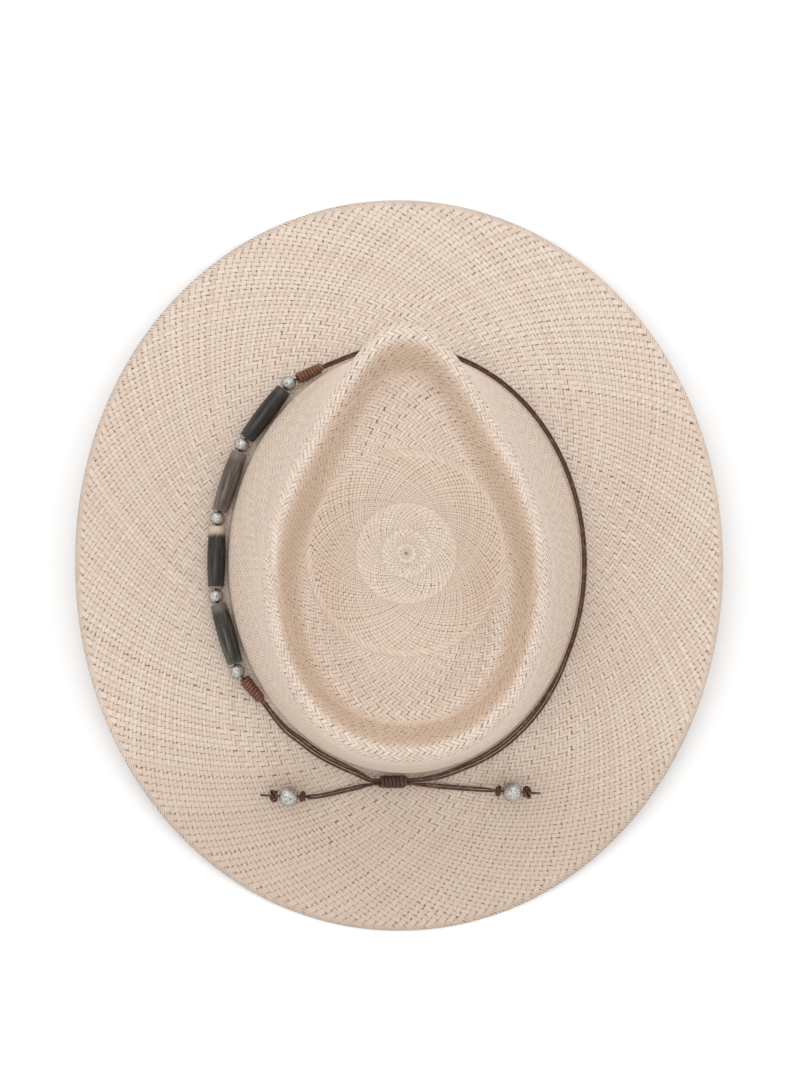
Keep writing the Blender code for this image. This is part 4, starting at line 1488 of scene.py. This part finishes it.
class StrawSettings(bpy.types.PropertyGroup):
    """The straw and how it is woven."""

    lift: FloatProperty(
        name="Lift",
        description="How far a straw rises over the one that it crosses",
        default=0.00014,
        subtype="DISTANCE",
        unit="LENGTH",
        precision=5,
    )
    brim_straws: IntProperty(
        name="Brim straws", description="Straws each way round the brim", default=224, min=60
    )
    wall_straws: IntProperty(
        name="Wall straws", description="Straws each way round the crown's wall", default=186, min=60
    )
    twill_width: FloatProperty(
        name="Twill width",
        description="How far out from the crown the brim's twill runs before the plain weave",
        default=0.034,
        subtype="DISTANCE",
        unit="LENGTH",
    )
    edge_loops: IntProperty(
        name="Edge loops", description="Straw ends turned back round the brim's edge", default=640, min=60
    )
    straw: colour_of("Straw", "Most of the straws", (0.690, 0.572, 0.482))
    straw_pale: colour_of("Pale straw", "The paler straws", (0.725, 0.615, 0.525))
    straw_ivory: colour_of("Ivory straw", "The palest straws", (0.755, 0.660, 0.565))
    straw_pink: colour_of("Warm straw", "Straws with a warm cast", (0.665, 0.535, 0.448))
    straw_dark: colour_of("Dark straw", "The darkest straws and fibres", (0.590, 0.462, 0.350))
    # Painted shade for the straw in the crown's hollow.
    straw_hollow: colour_of("Hollow", "Straw inside the pinched crown", (0.61, 0.43, 0.29))
    # Painted shade at the back of the brim.
    straw_back_shade: colour_of("Back brim shade", "Straw at the back of the brim", (0.52, 0.405, 0.32))
    # Painted shade at the sides of each straw.
    straw_edge: colour_of("Edge shade", "The split sides of each straw", (0.36, 0.25, 0.165))
    straw_speck: colour_of("Specks", "Specks of dust and scorch", (0.36, 0.23, 0.14))
    # The colour of the sheet of painted shade seen between the straws.
    straw_core: colour_of("Shade sheet", "The dark inside of the plait", (0.22, 0.145, 0.095))


class BandSettings(bpy.types.PropertyGroup):
    """The cord band, its beads and knots."""

    wrap_turns: IntProperty(
        name="Wrapping turns",
        description="Turns of cord in each wrapping beside the beads",
        default=WRAP_TURNS,
        min=3,
    )
    knot_turns: IntProperty(
        name="Knot turns", description="Turns of cord in the sliding knot", default=KNOT_TURNS, min=3
    )
    marks: IntProperty(
        name="Punch marks", description="Punch marks on each small metal bead", default=190, min=20
    )
    cord: colour_of("Cord", "Waxed leather of the strands and tails", (0.078, 0.031, 0.017))
    cord_worn: colour_of("Worn cord", "Where the cord is rubbed", (0.195, 0.088, 0.052))
    wrap: colour_of("Wrapping", "Leather of the wrappings", (0.160, 0.064, 0.036))
    wrap_worn: colour_of("Worn wrapping", "Where the wrappings are rubbed", (0.270, 0.125, 0.078))
    silver: colour_of("Silver", "The metal beads", (0.58, 0.565, 0.545))
    tarnish: colour_of("Tarnish", "The metal in the punch marks", (0.22, 0.19, 0.165))


class LiningSettings(bpy.types.PropertyGroup):
    """The sweatband and its trimmings."""

    stitches: IntProperty(
        name="Stitches", description="Stitches round the sweatband's lower seam", default=168, min=20
    )
    leather: colour_of("Leather", "The sweatband", (0.115, 0.058, 0.030))
    thread: colour_of("Thread", "The sweatband's stitching", (0.52, 0.43, 0.31))
    reed: colour_of("Reed", "The covered reed of the sweatband's seam", (0.60, 0.54, 0.44))
    ribbon: colour_of("Ribbon", "The small bow", (0.030, 0.020, 0.015))


class StageSettings(bpy.types.PropertyGroup):
    """The floor, the lights and the camera."""

    floor: colour_of("Floor", "The floor's colour", (0.93, 0.93, 0.93))
    sky: FloatProperty(name="Sky", description="Strength of the light from all round", default=1.07, min=0)
    key: FloatProperty(
        name="Key light",
        description="Power of the soft main light",
        default=4.5,
        min=0,
        subtype="POWER",
        unit="POWER",
    )
    eye: FloatVectorProperty(
        name="Eye",
        description="Where the camera stands",
        subtype="TRANSLATION",
        unit="LENGTH",
        default=(0.0112, 0.0556, 1.129),
    )
    tilt: FloatVectorProperty(
        name="Tilt",
        description="The camera's turn from straight down",
        subtype="EULER",
        unit="ROTATION",
        default=(math.radians(-3.56), math.radians(0.58), math.radians(-0.28)),
    )
    lens: FloatProperty(name="Lens", description="Focal length in millimetres", default=75.7, min=10)


# ---------------------------------------------------------------- operators
class HAT_OT_stage(bpy.types.Operator):
    """Sets the pale floor, the soft light and the camera above the hat"""

    bl_idname = "hat.stage"
    bl_label = "Stage"

    def execute(self, context):
        settings = context.scene.hat_stage
        bm = bmesh.new()
        bmesh.ops.create_grid(bm, x_segments=1, y_segments=1, size=6)
        mesh = bpy.data.meshes.new("floor")
        bm.to_mesh(mesh)
        bm.free()
        floor = bpy.data.objects.new("floor", mesh)
        context.scene.collection.objects.link(floor)
        finish = Finish("floor_paper", roughness=0.9)
        finish.shader.inputs["Base Color"].default_value = (*settings.floor, 1)
        mesh.materials.append(finish.material)
        floor.location.z = -0.0002

        world = bpy.data.worlds.new("studio")
        world.use_nodes = True
        world.node_tree.nodes["Background"].inputs["Color"].default_value = (1, 1, 1, 1)
        world.node_tree.nodes["Background"].inputs["Strength"].default_value = settings.sky
        context.scene.world = world
        lamp = bpy.data.lights.new("key", "AREA")
        lamp.energy = settings.key
        lamp.size = 1.1
        light = bpy.data.objects.new("key", lamp)
        context.scene.collection.objects.link(light)
        light.location = (0.12, -0.55, 1.5)
        light.rotation_euler = (Vector((0, 0, 0.03)) - light.location).to_track_quat("-Z", "Y").to_euler()

        camera = bpy.data.objects.new("camera", bpy.data.cameras.new("camera"))
        context.scene.collection.objects.link(camera)
        turn = Matrix.Rotation(settings.tilt[2], 3, "Z") @ Matrix.Rotation(settings.tilt[1], 3, "Y")
        turn = turn @ Matrix.Rotation(settings.tilt[0], 3, "X") @ Matrix.Diagonal((-1, -1, 1))
        camera.matrix_world = Matrix.Translation(Vector(settings.eye)) @ turn.to_4x4()
        camera.data.sensor_width = 36
        camera.data.lens = settings.lens
        context.scene.camera = camera
        context.scene.view_settings.view_transform = "Standard"
        return {"FINISHED"}


class HAT_OT_straw(bpy.types.Operator):
    """Weaves the crown and the brim over a dark sheet of painted shade, and turns the ends back round the edge"""

    bl_idname = "hat.straw"
    bl_label = "Straw"

    def execute(self, context):
        settings = context.scene.hat_straw
        finish = straw_finish(settings)
        tree = swept_tree("woven_straw", 6)
        parts = {}
        for seed, ring in enumerate(straw_rings(settings)):
            name, start, end, count, plain_from = ring
            guides = straw_guides(start, end, count, plain_from, seed + 1)
            for family, guide in guides.items():
                halves = 2 if count > MOST_IN_ONE else 1
                for half in range(halves):
                    cut = {key: value[half::halves] for key, value in guide.items()}
                    label = f"straws_{name}_{family}" + (f"_{half + 1}" if halves > 1 else "")
                    parts.setdefault((label, family), []).append(cut)
        for (label, family), guides in parts.items():
            made = swept(label, guides, tree, finish, FLATNESS[family], settings.lift)
            put_on(made, "hat", "straw", "straw_body")
        made = swept("straw_edge", edge_guides(settings.edge_loops), tree, finish, 0.22)
        put_on(made, "hat", "straw", "straw_body")
        # A dark sheet that paints the shade seen between the straws.
        shade_sheet = straw_core()
        shade_sheet.data.materials.append(shade_sheet_finish(tuple(settings.straw_core)))
        put_on(shade_sheet, "hat", "straw", "straw_body")
        return {"FINISHED"}


class HAT_OT_cords(bpy.types.Operator):
    """Lays the strands of the band round the crown and through the beads"""

    bl_idname = "hat.cords"
    bl_label = "Cords"

    def execute(self, context):
        settings = context.scene.hat_band
        finish = leather_cord_finish("waxed_cord", tuple(settings.cord), tuple(settings.cord_worn), 0.42)
        tree = swept_tree("round_cord", 14)
        centres, lines = band_lines()
        strands = {**held_lines(lines), **bead_lines(centres, lines)}
        for name, line in strands.items():
            made = swept(f"{name}_cord", [cord_guide(smooth_route(line), STRAND)], tree, finish)
            put_on(made, "hatband", "band_cord", name)
        return {"FINISHED"}


class HAT_OT_wrappings(bpy.types.Operator):
    """Winds the two wrappings beside the beads and the sliding knot behind the crown"""

    bl_idname = "hat.wrappings"
    bl_label = "Wrappings and knot"

    def execute(self, context):
        settings = context.scene.hat_band
        brown = leather_cord_finish("wrapping_cord", tuple(settings.wrap), tuple(settings.wrap_worn), 0.38)
        dark = leather_cord_finish("knot_cord", tuple(settings.cord), tuple(settings.cord_worn), 0.38)
        tree = swept_tree("wound_cord", 12)
        _, lines = band_lines()
        for name, (near, far) in lines.items():
            guide = coil_guide(
                near, far, WRAP_BEAD_RADIUS, WRAP_STRAND_RADIUS, settings.wrap_turns, WRAP_CORD
            )
            made = swept(f"{name}_coil", [guide], tree, brown, 0.86)
            put_on(made, "hatband", "band_cord", name)
        made = swept("sliding_knot_coil", [sliding_knot_guide(settings.knot_turns)], tree, dark, 0.60)
        put_on(made, "knot", "band_cord", "sliding_knot")
        return {"FINISHED"}


class HAT_OT_beads(bpy.types.Operator):
    """Turns the horn pipes and the punched metal beads of the chain"""

    bl_idname = "hat.beads"
    bl_label = "Beads"

    def execute(self, context):
        settings = context.scene.hat_band
        centres, lines = band_lines()
        silver = silver_finish(tuple(settings.silver), tuple(settings.tarnish))
        line = [lines["front_wrapping"][0], *centres, lines["rear_wrapping"][0]]
        for index, (before, centre, after) in enumerate(zip(line, centres, line[2:])):
            way = (after - centre).normalized() + (centre - before).normalized()
            outline = ball_outline(SPACER_RADIUS, SPACER_BORE)
            shape = punched(SPACER_RADIUS, settings.marks, index + 10)
            bead = lathe(f"punched_bead_{index + 1}", outline, 92, centre, way, shape)
            bead.data.materials.append(silver)
            put_on(bead, f"spacer_bead_{index + 1}_body", "hammered_silver", f"spacer_bead_{index + 1}")
        radii = (PIPE_RADIUS + PIPE_SWELL, PIPE_END_RADIUS + PIPE_SWELL)
        outline = pipe_outline(PIPE_LENGTH + BEAD_GAP, *radii, PIPE_BORE)
        for index, (first, second) in enumerate(zip(centres, centres[1:])):
            colour, streak, tip, share = HORNS[index]
            name = f"horn_pipe_{index + 1}"
            middle, way = (first + second) / 2, second - first
            pipe = lathe(f"{name}_turned", outline, 56, middle, way, whittled(index + 3))
            pipe.data.materials.append(horn_finish(f"horn_{index + 1}", colour, streak, tip, share))
            put_on(pipe, f"{name}_body", "horn", name)
        return {"FINISHED"}


class HAT_OT_tails(bpy.types.Operator):
    """Lays the cord's two free ends on the brim, each with its knots and metal bead"""

    bl_idname = "hat.tails"
    bl_label = "Tails"

    def execute(self, context):
        settings = context.scene.hat_band
        finish = leather_cord_finish("tail_cord", tuple(settings.cord), tuple(settings.cord_worn), 0.42)
        silver = silver_finish(tuple(settings.silver), tuple(settings.tarnish))
        tree = swept_tree("tail_cord", 14)
        for seed, side, route in ((4, "left", LEFT_TAIL), (5, "right", RIGHT_TAIL)):
            line, direction, inner, middle, outer = tail_places(route)
            knots = (("inner_knot", inner, TAIL_INNER_KNOT, 0.4), ("end_knot", outer, TAIL_END_KNOT, 1.3))
            for label, place, (length, radius), turn in knots:
                guides = [
                    knot_guide(place, direction, length, radius + 0.0005, 0.00120, turn),
                    knot_guide(place, direction, length * 0.8, radius - 0.0003, 0.00115, turn + 0.9),
                ]
                knot = swept(f"{side}_tail_{label}_tied", guides, tree, finish)
                put_on(knot, "hatband", "band_cord", f"{side}_tail_{label}")
            shape = punched(TAIL_BEAD_RADIUS, int(settings.marks * 1.7), seed)
            outline = ball_outline(TAIL_BEAD_RADIUS, TAIL_BORE, 56)
            bead = lathe(f"{side}_tail_punched_bead", outline, 116, middle, direction, shape)
            bead.data.materials.append(silver)
            put_on(bead, "hatband", "hammered_silver", f"{side}_tail_bead")
            knot = knot_frame()
            sign = 1 if side == "left" else -1
            for index, up in enumerate((0.5, -0.5)):
                path = twisted_path(line, direction, up * STRAND_PITCH)
                made = swept(f"{side}_tail_{index + 1}_cord", [cord_guide(path, STRAND)], tree, finish)
                put_on(made, "hatband", "band_cord", f"{side}_tail_{index + 1}")
                length = sum((b - a).length for a, b in zip(path, path[1:]))
                knot.x + sign * KNOT_LENGTH / 2
        return {"FINISHED"}


class HAT_OT_lining(bpy.types.Operator):
    """Fits the leather sweatband with its reed, stitches and bow"""

    bl_idname = "hat.lining"
    bl_label = "Sweatband"

    def execute(self, context):
        settings = context.scene.hat_lining
        near, far, rows = sweatband_places()
        angles = np.arange(288) * 2 * math.pi / 288 - math.pi / 2
        top, low = rows
        middle = (near + far) / 2
        section = [(top - 0.010, near)]
        section += [(top + (low - top) * k / 10, near) for k in range(1, 10)]
        section += [(low, near)]
        section += [(low + 0.012, middle), (low, far)]
        section += [(low + (top - low) * k / 10, far) for k in range(1, 10)]
        section += [(top, far + 0.0001), (top - 0.014, middle)]
        strip = band("sweatband_leather_strip", section, angles)
        strip.data.materials.append(leather_finish(tuple(settings.leather)))
        put_on(strip, "hat", "sweatband_leather", "sweatband")
        flat = (SWEATBAND_HEIGHT, round_the_head((top + low) / 2))

        closed = np.linspace(-1.5 * math.pi, 0.5 * math.pi, 361)
        reed_row = low + 0.42
        line = meridian(reed_row, closed) + outward(reed_row, closed) * (near - 0.0008)
        guide = cord_guide(line, 0.0014, outward(reed_row, closed))
        finish = spun_finish("reed_cover", tuple(settings.reed), 260.0)
        made = swept("sweatband_reed_cord", [guide], swept_tree("reed", 12), finish)
        put_on(made, "hat", "reed", "sweatband_reed")

        finish = spun_finish("seam_thread", tuple(settings.thread), 900.0)
        guides = stitch_guides(low - 0.30, far, settings.stitches)
        made = swept("sweatband_stitches", guides, swept_tree("stitch", 8), finish)
        put_on(made, "hat", "thread", "sweatband_stitching")

        finish = spun_finish("bow_ribbon", tuple(settings.ribbon), 1400.0, 0.6)
        made = swept("sweatband_ribbon_bow", bow_guides(top, low), swept_tree("ribbon", 10), finish, 0.09)
        put_on(made, "hat", "ribbon", "sweatband_bow")
        return {"FINISHED"}


class HAT_PT_panel(bpy.types.Panel):
    """The hat's sizes and colours, and a button for each of its pieces"""

    bl_label = "Hat"
    bl_idname = "HAT_PT_panel"
    bl_space_type = "VIEW_3D"
    bl_region_type = "UI"
    bl_category = "Hat"

    def draw(self, context):
        layout = self.layout
        for operator in STEPS:
            layout.operator(operator.bl_idname)
        for name, group in GROUPS.items():
            box = layout.box()
            for key in group.__annotations__:
                box.prop(getattr(context.scene, name), key)


STEPS = (
    HAT_OT_stage,
    HAT_OT_tails,
    HAT_OT_cords,
    HAT_OT_wrappings,
    HAT_OT_beads,
    HAT_OT_lining,
    HAT_OT_straw,
)
GROUPS = {
    "hat_straw": StrawSettings,
    "hat_band": BandSettings,
    "hat_lining": LiningSettings,
    "hat_stage": StageSettings,
}
CLASSES = (*GROUPS.values(), *STEPS, HAT_PT_panel)


def register():
    for kind in CLASSES:
        bpy.utils.register_class(kind)
    for name, kind in GROUPS.items():
        setattr(bpy.types.Scene, name, PointerProperty(type=kind))


def unregister():
    for name in GROUPS:
        delattr(bpy.types.Scene, name)
    for kind in reversed(CLASSES):
        bpy.utils.unregister_class(kind)


def main():
    register()
    for step in STEPS:
        group, name = step.bl_idname.split(".")
        getattr(getattr(bpy.ops, group), name)()


if __name__ == "__main__":
    main()
